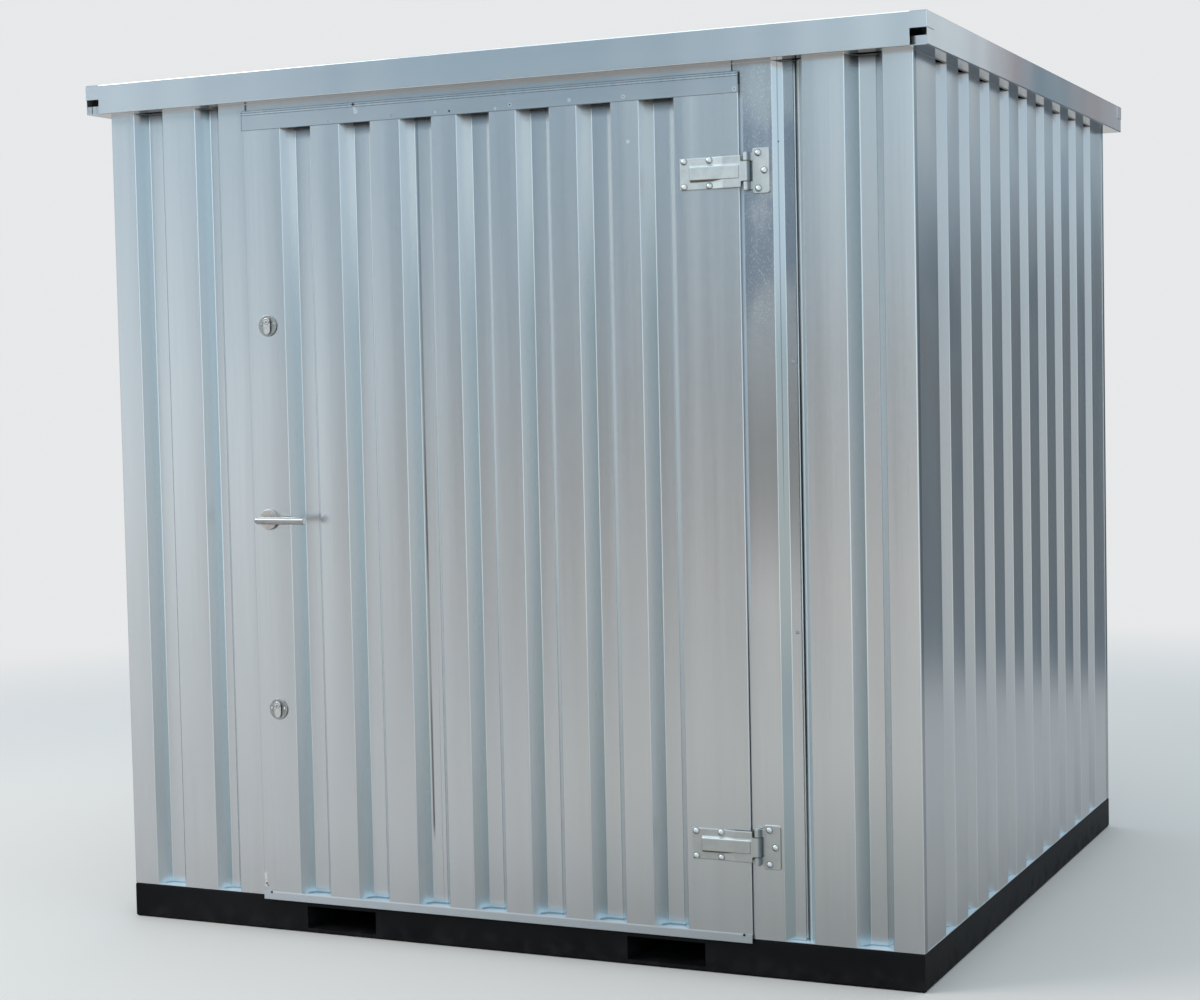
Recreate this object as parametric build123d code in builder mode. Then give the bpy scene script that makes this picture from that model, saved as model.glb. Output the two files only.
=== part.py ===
from build123d import *
import os

# Steel storage container on a black base frame: millimetres, +Z up, the door in the wall at -Y,
# the origin on the ground under the middle of the base

# Overall sizes
base_width = 2176
base_depth = 1993
base_height = 90
roof_top = 2200
roof_overhang = 45

# Folded sheet of the walls and the door
sheet = 1.0
fold_radius = 3.0
groove_opening = 90
groove_run = 25
groove_depth = 34
wall_crest = 103
side_end_flat_least = 120
rear_end_flat_least = 60
lap_cover = 18

# Base frame
rail_wall = 3
rail_flange = 40
rail_bend = 6
fork_pocket_width = 202
fork_pocket_height = 57
fork_pocket_centres = 900
fork_pocket_lift = 12
floor_thickness = 18
floor_gap = 1.5
floor_joint_gap = 1
joist_width = 60
joist_spacing = 770

# Galvanised rails inside the foot and the head of the walls
rail_sheet = 1.5
rail_upstand = 40
small_bend = 2.5
mitre_gap = 0.6

# Front wall, from each corner inwards
corner_flat = 72
corner_crest = 100
corner_return = 25
joint_gap = 3
joint_depth = 18
joint_run = 21
joint_floor = 24
joint_gutter = 6
joint_gutter_run = 3
joint_lap = 14
left_post_width = 85
right_post_width = 96
post_lip = 20
header_height = 43
header_joint_gap = 1.5

# Door leaf: how far it covers the doorway's edges, and the spread of its grooves
leaf_left_cover = 7
leaf_right_cover = 17
leaf_head_cover = 25
leaf_bottom = 80
leaf_gap = 5
leaf_return = 3
leaf_plate = 1.5
leaf_bend = 2
leaf_left_flat = 111
leaf_right_flat = 160
leaf_left_grooves = 3
leaf_right_grooves = 4
leaf_left_pitch_share = 0.1751
leaf_right_pitch_share = 0.163
leaf_strip_height = 50
leaf_strip_overhang = 3
leaf_lip_height = 22
leaf_web_rise = 18
leaf_channel_edge = 20
leaf_frame_clearance = 6
leaf_frame_depth = 51
leaf_frame_top_gap = 5
lock_stile_width = 80
hinge_stile_width = 60
crossbar_inset = 80
crossbar_half = 25
crossbar_slope = 8
crossbar_foot = 18

# Hinges
hinge_beside_leaf = 18
hinge_inset = 230
hinge_pin_radius = 4
hinge_pin_clearance = 0.05
hinge_knuckle_radius = 8.5
hinge_wall_gap = 0.5
hinge_metal = 4
hinge_bend = 5
hinge_end_gap = 0.5
strap_length = 151
strap_height = 73
strap_reach = 4
strap_joggle_start = 80
strap_joggle_run = 28
strap_shoulder = 3
strap_knuckle_height = 46
strap_rib_length = 128
strap_rib_height = 38
strap_rib_proud = 7
strap_rib_corner = 6
strap_rib_taper = 30
strap_rib_edge = 1.5
hinge_plate_width = 42
hinge_plate_height = 104
hinge_plate_start = 12.5
hinge_plate_corner = 6.5
hinge_plate_edge = 1
hinge_neck = 5
hinge_total_height = 83
hinge_head_radius = 6.5
hinge_head_height = 2

# Handle and keyholes
handle_inset = 49
handle_height = 1066
rose_radius = 26
rose_thickness = 8
rose_edge = 1.5
lever_radius = 9.5
lever_reach = 134
lever_proud = 48
lever_seat_gap = 0.3
lever_bore_clearance = 0.08
lever_edge = 1.5
key_inset = 60
key_heights = (578, 1560)
key_rose_radius = 27
key_rose_thickness = 3
key_rose_edge = 1
key_slot_width = 3
key_slot_height = 10
key_cover_gap = 0.3
key_cover_lift = 2.2
key_cover_thickness = 2
key_cover_pivot_rise = 10
key_cover_radius = 10
key_cover_drop = 21.5
key_cover_tip_radius = 9.5
key_cover_cap = 2.5
key_cover_cap_drop = 2.5
key_cover_edge = 1.5
key_boss_radius = 6
key_pivot_radius = 2
key_pivot_clearance = 0.05
key_pivot_head_radius = 3
key_pivot_head = 1

# Roof
fascia_height = 76
fascia_sheet = 1.5
fascia_top_flange = 40
soffit_inside = 60
notch_height = 38
corner_tab = 55
end_tab_inset = 22
end_tab_width = 40
end_tab_height = 24
tray_drop = 35
tray_sheet = 1.0
tray_edge = 20
roof_beam_spacing = 500
roof_beam_top = 50
roof_beam_foot = 20
roof_beam_slope = 10
roof_beam_bearing = 50
roof_beam_sheet = 1.5

# Places that follow from the sizes above
half_width = base_width / 2
half_depth = base_depth / 2
wall_top = roof_top - fascia_height
tray_level = roof_top - tray_drop
ledge_top = base_height + rail_sheet
panel_top = wall_top - rail_sheet
panel_height = panel_top - ledge_top
over_depth = groove_depth - sheet
jamb_depth = groove_depth + 2 * sheet
upstand_depth = jamb_depth + small_bend - rail_sheet
joint_groove = corner_flat + groove_opening + corner_crest
joint_start = joint_groove + groove_run + joint_gap
joint_end = joint_start + joint_floor
post_face_start = joint_end + joint_run
gutter_start = joint_groove + groove_run
gutter_end = gutter_start + joint_gutter
joint_lap_start = gutter_end + joint_gutter_run
left_post_foot = -half_width + post_face_start - groove_run
wall_pitch = groove_opening + wall_crest
side_grooves = int((base_depth - 2 * side_end_flat_least + wall_crest) // wall_pitch)
side_start = -(side_grooves * wall_pitch - wall_crest) / 2
rear_grooves = int((base_width - 2 * rear_end_flat_least + wall_crest) // wall_pitch)
rear_start = -(rear_grooves * wall_pitch - wall_crest) / 2
doorway_left = -half_width + post_face_start + left_post_width
doorway_right = half_width - post_face_start - right_post_width
doorway_top = wall_top - header_height
leaf_left = doorway_left - leaf_left_cover
leaf_right = doorway_right + leaf_right_cover
leaf_top = doorway_top + leaf_head_cover
leaf_face = leaf_gap + leaf_return
hinge_x = leaf_right + hinge_beside_leaf
hinge_axis = hinge_knuckle_radius + hinge_wall_gap
hinge_heights = (leaf_bottom + hinge_inset, leaf_top - hinge_inset)
handle_x = leaf_left + handle_inset
key_x = leaf_left + key_inset
os.makedirs("parts", exist_ok=True)

# One level plane on each wall at a given height: x runs to the right seen from outside, y runs inwards


def front_plane(height, depth=0):
    return Plane(origin=(0, -half_depth + depth, height), x_dir=(1, 0, 0), z_dir=(0, 0, 1))


def right_plane(height, depth=0):
    return Plane(origin=(half_width - depth, 0, height), x_dir=(0, 1, 0), z_dir=(0, 0, 1))


def rear_plane(height, depth=0):
    return Plane(origin=(0, half_depth - depth, height), x_dir=(-1, 0, 0), z_dir=(0, 0, 1))


def left_plane(height, depth=0):
    return Plane(origin=(-half_width + depth, 0, height), x_dir=(0, -1, 0), z_dir=(0, 0, 1))


def section_plane(plane, shift=0):
    # Upright section of a rail that runs along the wall: x runs inwards, y runs up
    return Plane(origin=plane.origin + plane.x_dir * shift, x_dir=plane.y_dir, z_dir=plane.x_dir)


def face_plane(plane):
    # Upright plane on the wall's face: x runs to the right seen from outside, y runs up, z out
    return Plane(origin=plane.origin, x_dir=plane.x_dir, z_dir=-plane.y_dir)


def mitre_plane(plane, length, end):
    # Plane at 45 degrees through the corner of the base at one end of a rail
    corner = plane.origin + plane.x_dir * (end * length / 2)
    return Plane(origin=corner, x_dir=(0, 0, 1), z_dir=plane.x_dir * end + plane.y_dir)


def folded_face(points, thickness, bend, side=Side.LEFT):
    # Face of a folded sheet: its outer fold line, thickened to one side
    with BuildSketch() as face:
        with BuildLine():
            FilletPolyline(*points, radius=bend)
            offset(amount=thickness, side=side, closed=True)
        make_face()
    return face.sketch


def groove_points(start):
    # Four folds of one trapezoid groove that starts at a place along the wall
    return [
        (start, 0),
        (start + groove_run, groove_depth),
        (start + groove_opening - groove_run, groove_depth),
        (start + groove_opening, 0),
    ]


def groove_row(first, count, pitch=wall_pitch):
    # Folds of several grooves side by side
    folds = []
    for index in range(count):
        folds += groove_points(first + index * pitch)
    return folds


def lap_over(start):
    # End of a panel in the bottom of a groove, one sheet higher, over the next panel
    return [
        (start, 0),
        (start + groove_run, over_depth),
        (start + (groove_opening + lap_cover) / 2, over_depth),
    ]


def lap_under(start):
    # Start of a panel in the bottom of a groove, under the one before it
    return [
        (start + (groove_opening - lap_cover) / 2, groove_depth),
        (start + groove_opening - groove_run, groove_depth),
        (start + groove_opening, 0),
    ]


def mirrored(points):
    return [(-x, y) for x, y in reversed(points)]


def mouth_faces(outlines):
    # Openings over the grooves of one wall, each closed along the wall's face
    with BuildSketch() as mouths:
        for outline in outlines:
            with BuildLine():
                Polyline(*outline, close=True)
            make_face()
    return mouths.sketch


def keep_part(builder, name):
    builder.part.label = name
    export_step(builder.part, f"parts/{name}.step")


def wall_panel(name, plane, points):
    # Corrugated panel from the ledge to the head rail
    with BuildPart() as panel:
        with BuildSketch(plane):
            add(folded_face(points, sheet, fold_radius))
        extrude(amount=panel_height)
    keep_part(panel, name)


# Groove mouths: at the head each groove opens into the roof as a vent
left_joint_mouth = [
    (-half_width + joint_groove, 0),
    (-half_width + gutter_start, groove_depth),
    (left_post_foot, groove_depth),
    (-half_width + post_face_start, 0),
]
right_joint_mouth = [
    (half_width - post_face_start, 0),
    (half_width - joint_end, joint_depth),
    (half_width - joint_lap_start, joint_depth),
    (half_width - gutter_end, groove_depth),
    (half_width - gutter_start, groove_depth),
    (half_width - joint_groove, 0),
]
corner_mouth = groove_points(-half_width + corner_flat)
front_mouths = [corner_mouth, left_joint_mouth, right_joint_mouth, mirrored(corner_mouth)]
side_mouths = [groove_points(side_start + index * wall_pitch) for index in range(side_grooves)]
rear_mouths = [groove_points(rear_start + index * wall_pitch) for index in range(rear_grooves)]


# Base frame: four mitred channels, the front and rear ones open at the fork pockets


def base_rail(name, plane, length, has_pockets):
    with BuildPart() as rail:
        with BuildSketch(section_plane(plane)):
            add(folded_face(
                [(rail_flange, 0), (0, 0), (0, base_height), (rail_flange, base_height)],
                rail_wall, rail_bend, Side.RIGHT,
            ))
        extrude(amount=length / 2, both=True)
        for end in (-1, 1):
            split(bisect_by=mitre_plane(plane, length, end), keep=Keep.BOTTOM)
        if has_pockets:
            with BuildSketch(face_plane(plane)):
                with Locations((0, fork_pocket_lift + fork_pocket_height / 2)):
                    with GridLocations(fork_pocket_centres, 0, 2, 1):
                        Rectangle(fork_pocket_width + 2 * rail_wall, fork_pocket_height + 2 * rail_wall)
            extrude(amount=-rail_flange, mode=Mode.SUBTRACT)
    keep_part(rail, name)


base_rail("base_front_rail", front_plane(0), base_width, True)
base_rail("base_rear_rail", rear_plane(0), base_width, True)
base_rail("base_left_rail", left_plane(0), base_depth, False)
base_rail("base_right_rail", right_plane(0), base_depth, False)

# Fork pockets: square tubes from face to face of the base
for name, side in (("fork_pocket_left", -1), ("fork_pocket_right", 1)):
    with BuildPart() as pocket:
        with BuildSketch(Plane(origin=(side * fork_pocket_centres / 2, 0, 0), x_dir=(1, 0, 0), z_dir=(0, -1, 0))):
            with Locations((0, fork_pocket_lift + fork_pocket_height / 2)):
                Rectangle(fork_pocket_width + 2 * rail_wall, fork_pocket_height + 2 * rail_wall)
                Rectangle(fork_pocket_width, fork_pocket_height, mode=Mode.SUBTRACT)
        extrude(amount=half_depth, both=True)
    keep_part(pocket, name)

# Joists: channels that lie on the ground between the rails and carry the floor
floor_underside = base_height - floor_thickness
with BuildPart() as joists:
    for place in (-joist_spacing, 0, joist_spacing):
        with BuildSketch(Plane(origin=(place - joist_width / 2, 0, 0), x_dir=(1, 0, 0), z_dir=(0, -1, 0))):
            add(folded_face(
                [(joist_width, 0), (0, 0), (0, floor_underside), (joist_width, floor_underside)],
                rail_wall, rail_bend, Side.RIGHT,
            ))
        extrude(amount=half_depth - rail_flange, both=True)
keep_part(joists, "floor_joists")

# Floor boards: two plywood sheets that meet over the middle joist
board_width = half_width - rail_flange - floor_gap - floor_joint_gap / 2
for name, side in (("floor_board_left", -1), ("floor_board_right", 1)):
    with BuildPart() as board:
        middle = side * (board_width + floor_joint_gap) / 2
        with BuildSketch(Plane(origin=(middle, 0, floor_underside), x_dir=(1, 0, 0), z_dir=(0, 0, 1))):
            Rectangle(board_width, base_depth - 2 * (rail_flange + floor_gap))
        extrude(amount=floor_thickness)
    keep_part(board, name)

# Foot and head rails: angles with mitred ends, the front foot rail low across the doorway


def angle_rail(plane, length, rise):
    side = Side.LEFT if rise > 0 else Side.RIGHT
    reach = upstand_depth + rail_sheet
    with BuildPart() as rail:
        with BuildSketch(section_plane(plane)):
            add(folded_face([(0, 0), (reach, 0), (reach, rise)], rail_sheet, small_bend, side))
        extrude(amount=length / 2, both=True)
        for end in (-1, 1):
            split(bisect_by=mitre_plane(plane, length - mitre_gap, end), keep=Keep.BOTTOM)
    return rail.part


def foot_rail(plane, length):
    return angle_rail(plane, length, rail_upstand)


def head_rail(plane, length, mouth_plane, outlines):
    with BuildPart() as rail:
        add(angle_rail(plane, length, -rail_upstand))
        with BuildSketch(mouth_plane):
            add(mouth_faces(outlines))
        extrude(amount=-rail_sheet, mode=Mode.SUBTRACT)
    return rail.part


with BuildPart() as foot_rails:
    add(foot_rail(front_plane(base_height), base_width))
    with BuildSketch(front_plane(ledge_top)):
        with Locations(((doorway_left + doorway_right) / 2, upstand_depth)):
            Rectangle(doorway_right - doorway_left, 2 * upstand_depth)
    extrude(amount=rail_upstand, mode=Mode.SUBTRACT)
    add(foot_rail(rear_plane(base_height), base_width))
    add(foot_rail(left_plane(base_height), base_depth))
    add(foot_rail(right_plane(base_height), base_depth))
keep_part(foot_rails, "foot_rails")

with BuildPart() as head_rails:
    add(head_rail(front_plane(wall_top), base_width, front_plane(wall_top), front_mouths))
    add(head_rail(rear_plane(wall_top), base_width, rear_plane(wall_top), rear_mouths))
    add(head_rail(left_plane(wall_top), base_depth, left_plane(wall_top, sheet), side_mouths))
    add(head_rail(right_plane(wall_top), base_depth, right_plane(wall_top, sheet), side_mouths))
keep_part(head_rails, "head_rails")

# Front wall beside the door: a corner panel that wraps the corner, then a door post. The left post laps
# the panel in the bottom of the last groove, the right one starts as a shelf over a narrow gutter
corner_wrap = [(-half_width, corner_return), (-half_width, 0)]
corner_wrap += groove_points(-half_width + corner_flat)
corner_wrap += [(-half_width + joint_groove, 0), (-half_width + gutter_start, groove_depth)]
left_corner = corner_wrap + [(-half_width + gutter_start + lap_cover, groove_depth)]
right_corner = mirrored(corner_wrap + [
    (-half_width + gutter_end, groove_depth),
    (-half_width + joint_lap_start, joint_depth + sheet),
    (-half_width + joint_lap_start + joint_lap, joint_depth + sheet),
])
left_post = [
    (-half_width + joint_start, over_depth),
    (left_post_foot, over_depth),
    (-half_width + post_face_start, 0),
    (doorway_left, 0),
    (doorway_left, jamb_depth),
    (doorway_left - post_lip, jamb_depth),
]
right_post = [
    (doorway_right + post_lip, jamb_depth),
    (doorway_right, jamb_depth),
    (doorway_right, 0),
    (half_width - post_face_start, 0),
    (half_width - joint_end, joint_depth),
    (half_width - joint_start, joint_depth),
]
wall_panel("front_left_panel", front_plane(ledge_top), left_corner)
wall_panel("front_right_panel", front_plane(ledge_top), right_corner)
wall_panel("left_door_post", front_plane(ledge_top), left_post)
wall_panel("right_door_post", front_plane(ledge_top), right_post)

# Header over the doorway, a hair away from the posts
with BuildPart() as header:
    with BuildSketch(section_plane(front_plane(0), (doorway_left + doorway_right) / 2)):
        add(folded_face(
            [(0, panel_top), (0, doorway_top), (jamb_depth, doorway_top), (jamb_depth, doorway_top + post_lip)],
            sheet, fold_radius,
        ))
    extrude(amount=(doorway_right - doorway_left) / 2 - header_joint_gap, both=True)
keep_part(header, "door_header")

# Side walls: two panels each, which lap in the bottom of the middle groove
side_lap = side_start + side_grooves // 2 * wall_pitch
side_second = side_lap + wall_pitch
side_end = half_depth - fold_radius
side_first_folds = [(-side_end, 0)] + groove_row(side_start, side_grooves // 2) + lap_over(side_lap)
side_second_folds = lap_under(side_lap) + groove_row(side_second, (side_grooves - 1) // 2) + [(side_end, 0)]
for plane, first_name, second_name in (
    (right_plane(ledge_top, sheet), "right_wall_front_panel", "right_wall_rear_panel"),
    (left_plane(ledge_top, sheet), "left_wall_rear_panel", "left_wall_front_panel"),
):
    wall_panel(first_name, plane, side_first_folds)
    wall_panel(second_name, plane, side_second_folds)

# Rear wall: three panels, the outer two wrap the corners
outer_grooves = rear_grooves // 3
middle_grooves = rear_grooves - 2 * outer_grooves - 2
first_lap = rear_start + outer_grooves * wall_pitch
second_lap = first_lap + (middle_grooves + 1) * wall_pitch
rear_right = [(-half_width, corner_return), (-half_width, 0)]
rear_right += groove_row(rear_start, outer_grooves) + lap_over(first_lap)
rear_middle = lap_under(first_lap) + groove_row(first_lap + wall_pitch, middle_grooves) + lap_over(second_lap)
rear_left = lap_under(second_lap) + groove_row(second_lap + wall_pitch, outer_grooves)
rear_left += [(half_width, 0), (half_width, corner_return)]
wall_panel("rear_right_panel", rear_plane(ledge_top), rear_right)
wall_panel("rear_middle_panel", rear_plane(ledge_top), rear_middle)
wall_panel("rear_left_panel", rear_plane(ledge_top), rear_left)

# Roof edge: channels with a broad soffit that is open over the grooves; the front and rear ones are
# notched below and wrap the corners, and end tabs on the side soffits stand in the notches
half_roof_width = half_width + roof_overhang
half_roof_depth = half_depth + roof_overhang
soffit_reach = roof_overhang + soffit_inside
fascia_points = [
    (soffit_reach, wall_top),
    (0, wall_top),
    (0, roof_top),
    (fascia_top_flange, roof_top),
]


def side_fascia(name, wall_plane):
    fascia_end = half_roof_depth - small_bend
    with BuildPart() as fascia:
        with BuildSketch(section_plane(wall_plane(0, -roof_overhang))):
            add(folded_face(fascia_points, fascia_sheet, small_bend, Side.RIGHT))
        extrude(amount=fascia_end, both=True)
        with BuildSketch(wall_plane(wall_top, sheet)):
            add(mouth_faces(side_mouths))
        extrude(amount=fascia_sheet, mode=Mode.SUBTRACT)
        with BuildSketch(wall_plane(wall_top, -roof_overhang)):
            with Locations((0, small_bend + end_tab_width / 2)):
                with GridLocations(2 * (fascia_end - end_tab_inset), 0, 2, 1):
                    Rectangle(fascia_sheet, end_tab_width)
        extrude(amount=end_tab_height)
    keep_part(fascia, name)


def end_fascia(name, wall_plane, outlines):
    tab_x = half_roof_width + fascia_sheet
    with BuildPart() as fascia:
        # Web and flanges between the top flanges of the side fascias
        with BuildSketch(section_plane(wall_plane(0, -roof_overhang))):
            add(folded_face(fascia_points, fascia_sheet, small_bend, Side.RIGHT))
        extrude(amount=half_roof_width - fascia_top_flange, both=True)
        # The soffit stops at the side soffits
        with BuildSketch(wall_plane(wall_top, -roof_overhang)):
            with Locations((0, fascia_sheet + soffit_reach / 2)):
                Rectangle(2 * half_roof_width, soffit_reach)
                Rectangle(2 * (half_roof_width - soffit_reach), soffit_reach, mode=Mode.SUBTRACT)
        extrude(amount=small_bend, mode=Mode.SUBTRACT)
        with BuildSketch(wall_plane(wall_top)):
            add(mouth_faces(outlines))
        extrude(amount=fascia_sheet, mode=Mode.SUBTRACT)
        # Upper strip that runs on to the corners and wraps on to the side fascias
        with BuildSketch(wall_plane(roof_top - notch_height, -roof_overhang)):
            add(folded_face(
                [(-tab_x, corner_tab), (-tab_x, 0), (tab_x, 0), (tab_x, corner_tab)],
                fascia_sheet, small_bend,
            ))
        extrude(amount=notch_height - small_bend)
    keep_part(fascia, name)


side_fascia("roof_fascia_left", left_plane)
side_fascia("roof_fascia_right", right_plane)
end_fascia("roof_fascia_front", front_plane, front_mouths)
end_fascia("roof_fascia_rear", rear_plane, rear_mouths)

# Roof trays: three folded trays side by side inside the fascias
tray_width = 2 * (half_roof_width - fascia_sheet) / 3
for name, place in (("roof_tray_left", -1), ("roof_tray_middle", 0), ("roof_tray_right", 1)):
    with BuildPart() as tray:
        with BuildSketch(Plane(origin=(place * tray_width, 0, tray_level), z_dir=(0, 0, 1))):
            Rectangle(tray_width, 2 * (half_roof_depth - fascia_sheet))
        extrude(amount=tray_edge)
        offset(amount=-tray_sheet, openings=tray.faces().sort_by(Axis.Z)[-1])
    keep_part(tray, name)

# Roof beams: hat sections under the trays that bear on the front and rear soffits
beam_level = wall_top + fascia_sheet
beam_rise = tray_level - beam_level
beam_half_foot = roof_beam_top / 2 + roof_beam_slope
with BuildPart() as beams:
    for place in (-roof_beam_spacing, 0, roof_beam_spacing):
        with BuildSketch(Plane(origin=(place, 0, beam_level), x_dir=(1, 0, 0), z_dir=(0, -1, 0))):
            add(folded_face(
                [
                    (-beam_half_foot - roof_beam_foot, roof_beam_sheet),
                    (-beam_half_foot, roof_beam_sheet),
                    (-roof_beam_top / 2, beam_rise),
                    (roof_beam_top / 2, beam_rise),
                    (beam_half_foot, roof_beam_sheet),
                    (beam_half_foot + roof_beam_foot, roof_beam_sheet),
                ],
                roof_beam_sheet, small_bend, Side.RIGHT,
            ))
        extrude(amount=half_roof_depth - soffit_reach + roof_beam_bearing, both=True)
keep_part(beams, "roof_beams")

# Door leaf: two corrugated sheets that lap in the bottom of the last groove of the left one
leaf_sheet_bottom = leaf_bottom + leaf_web_rise + leaf_plate
leaf_sheet_top = doorway_top - leaf_frame_top_gap
leaf_width = leaf_right - leaf_left
leaf_middle = (leaf_left + leaf_right) / 2
leaf_spread = leaf_width - leaf_left_flat - leaf_right_flat - groove_opening
leaf_left_pitch = leaf_left_pitch_share * leaf_spread
leaf_right_pitch = leaf_right_pitch_share * leaf_spread
leaf_first = leaf_left + leaf_left_flat
leaf_lap = leaf_first + (leaf_left_grooves - 1) * leaf_left_pitch
leaf_after_lap = leaf_first + leaf_spread - (leaf_right_grooves - 1) * leaf_right_pitch
left_leaf_points = [(leaf_left, leaf_return), (leaf_left, 0)]
left_leaf_points += groove_row(leaf_first, leaf_left_grooves - 1, leaf_left_pitch) + lap_over(leaf_lap)
right_leaf_points = lap_under(leaf_lap) + groove_row(leaf_after_lap, leaf_right_grooves, leaf_right_pitch)
right_leaf_points += [(leaf_right, 0), (leaf_right, leaf_return)]
for name, points in (("door_sheet_left", left_leaf_points), ("door_sheet_right", right_leaf_points)):
    with BuildPart() as leaf_sheet:
        with BuildSketch(front_plane(leaf_sheet_bottom, -leaf_face)):
            add(folded_face(points, sheet, leaf_bend))
        extrude(amount=leaf_sheet_top - leaf_sheet_bottom)
    keep_part(leaf_sheet, name)

# Strip over the head of the leaf, a little longer at the lock side
strip_length = leaf_width + leaf_strip_overhang
strip_middle = leaf_right - strip_length / 2
with BuildPart() as strip:
    with BuildSketch(section_plane(front_plane(0, -leaf_face), strip_middle)):
        add(folded_face(
            [(leaf_return, leaf_top), (-leaf_plate, leaf_top), (-leaf_plate, leaf_top - leaf_strip_height)],
            leaf_plate, leaf_bend,
        ))
    extrude(amount=strip_length / 2, both=True)
keep_part(strip, "door_top_strip")

# Channel under the leaf: a lip in front of the base and a channel inside the doorway
frame_left = doorway_left + leaf_frame_clearance
frame_right = doorway_right - leaf_frame_clearance
frame_middle = (frame_left + frame_right) / 2
web_level = leaf_bottom + leaf_web_rise
with BuildPart() as bottom_channel:
    with BuildSketch(section_plane(front_plane(0, -leaf_face), leaf_middle)):
        add(folded_face(
            [(leaf_return, leaf_bottom), (-leaf_plate, leaf_bottom), (-leaf_plate, leaf_bottom + leaf_lip_height)],
            leaf_plate, leaf_bend, Side.RIGHT,
        ))
    extrude(amount=leaf_width / 2, both=True)
    with BuildSketch(section_plane(front_plane(0, -leaf_face), frame_middle)):
        add(folded_face(
            [
                (-leaf_plate, web_level),
                (leaf_frame_depth, web_level),
                (leaf_frame_depth, web_level + leaf_channel_edge),
            ],
            leaf_plate, leaf_bend,
        ))
    extrude(amount=(frame_right - frame_left) / 2, both=True)
keep_part(bottom_channel, "door_bottom_channel")

# Stiles behind the flat edges of the leaf and crossbars behind its grooves
stile_depth = leaf_frame_depth - leaf_bend
with BuildPart() as stiles:
    for left, right in (
        (frame_left, frame_left + lock_stile_width),
        (frame_right - hinge_stile_width, frame_right),
    ):
        with BuildSketch(front_plane(leaf_sheet_bottom, -leaf_face)):
            add(folded_face(
                [(left, sheet), (left, stile_depth), (right, stile_depth), (right, sheet)],
                leaf_plate, leaf_bend, Side.RIGHT,
            ))
        extrude(amount=leaf_sheet_top - leaf_sheet_bottom)
keep_part(stiles, "door_stiles")

crossbar_left = frame_left + lock_stile_width
crossbar_right = frame_right - hinge_stile_width
crossbar_foot_level = groove_depth + sheet + leaf_plate
with BuildPart() as crossbars:
    for height in (leaf_bottom + crossbar_inset, (leaf_bottom + leaf_top) / 2, leaf_top - crossbar_inset):
        with BuildSketch(section_plane(front_plane(height, -leaf_face), (crossbar_left + crossbar_right) / 2)):
            add(folded_face(
                [
                    (crossbar_foot_level, -crossbar_half - crossbar_foot),
                    (crossbar_foot_level, -crossbar_half),
                    (stile_depth, -crossbar_half + crossbar_slope),
                    (stile_depth, crossbar_half - crossbar_slope),
                    (crossbar_foot_level, crossbar_half),
                    (crossbar_foot_level, crossbar_half + crossbar_foot),
                ],
                leaf_plate, leaf_bend,
            ))
        extrude(amount=(crossbar_right - crossbar_left) / 2, both=True)
keep_part(crossbars, "door_crossbars")

# Hinges: a ribbed strap on the leaf and a plate on the post, their knuckles interleaved on one pin
strap_front = hinge_axis - leaf_face + hinge_knuckle_radius
axis_in_front = hinge_axis - leaf_face
knuckle_left = hinge_x - hinge_knuckle_radius
strap_end = knuckle_left - strap_reach
strap_left = strap_end - strap_length
joggle_start = strap_left + strap_joggle_start
bore_radius = hinge_pin_radius + hinge_pin_clearance
with BuildPart() as straps:
    for height in hinge_heights:
        # Flat strap with a joggle that lifts its right part to the front of the knuckle
        with BuildSketch(front_plane(height, -leaf_face)):
            add(folded_face(
                [
                    (strap_left, -hinge_metal),
                    (joggle_start, -hinge_metal),
                    (joggle_start + strap_joggle_run, -strap_front),
                    (hinge_x, -strap_front),
                ],
                hinge_metal, hinge_bend,
            ))
        extrude(amount=strap_height / 2, both=True)
        # Shoulders cut back to the middle knuckle
        with BuildSketch(face_plane(front_plane(height, -leaf_face))):
            with Locations((knuckle_left + strap_height / 2 - strap_shoulder, 0)):
                Rectangle(strap_height, 2 * strap_height)
                Rectangle(strap_height, strap_knuckle_height, mode=Mode.SUBTRACT)
        extrude(amount=2 * strap_front, mode=Mode.SUBTRACT)
        with BuildSketch(front_plane(height, -leaf_face)):
            with Locations((hinge_x, -axis_in_front)):
                Circle(hinge_knuckle_radius)
        extrude(amount=strap_knuckle_height / 2, both=True)
        with BuildSketch(front_plane(height, -leaf_face)):
            with Locations((hinge_x, -axis_in_front)):
                Circle(bore_radius)
        extrude(amount=strap_knuckle_height / 2, both=True, mode=Mode.SUBTRACT)
        # Long pressed rib that ends level with the shoulders
        with BuildSketch(face_plane(front_plane(height, -leaf_face - hinge_metal))):
            with Locations((strap_end - strap_rib_length / 2, 0)):
                RectangleRounded(strap_rib_length, strap_rib_height, strap_rib_corner)
        extrude(amount=strap_rib_proud, taper=strap_rib_taper)
    rib_faces = straps.faces().filter_by(Axis.Y).group_by(Axis.Y)[0]
    fillet(rib_faces.edges(), radius=strap_rib_edge)
keep_part(straps, "hinge_straps")

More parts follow.
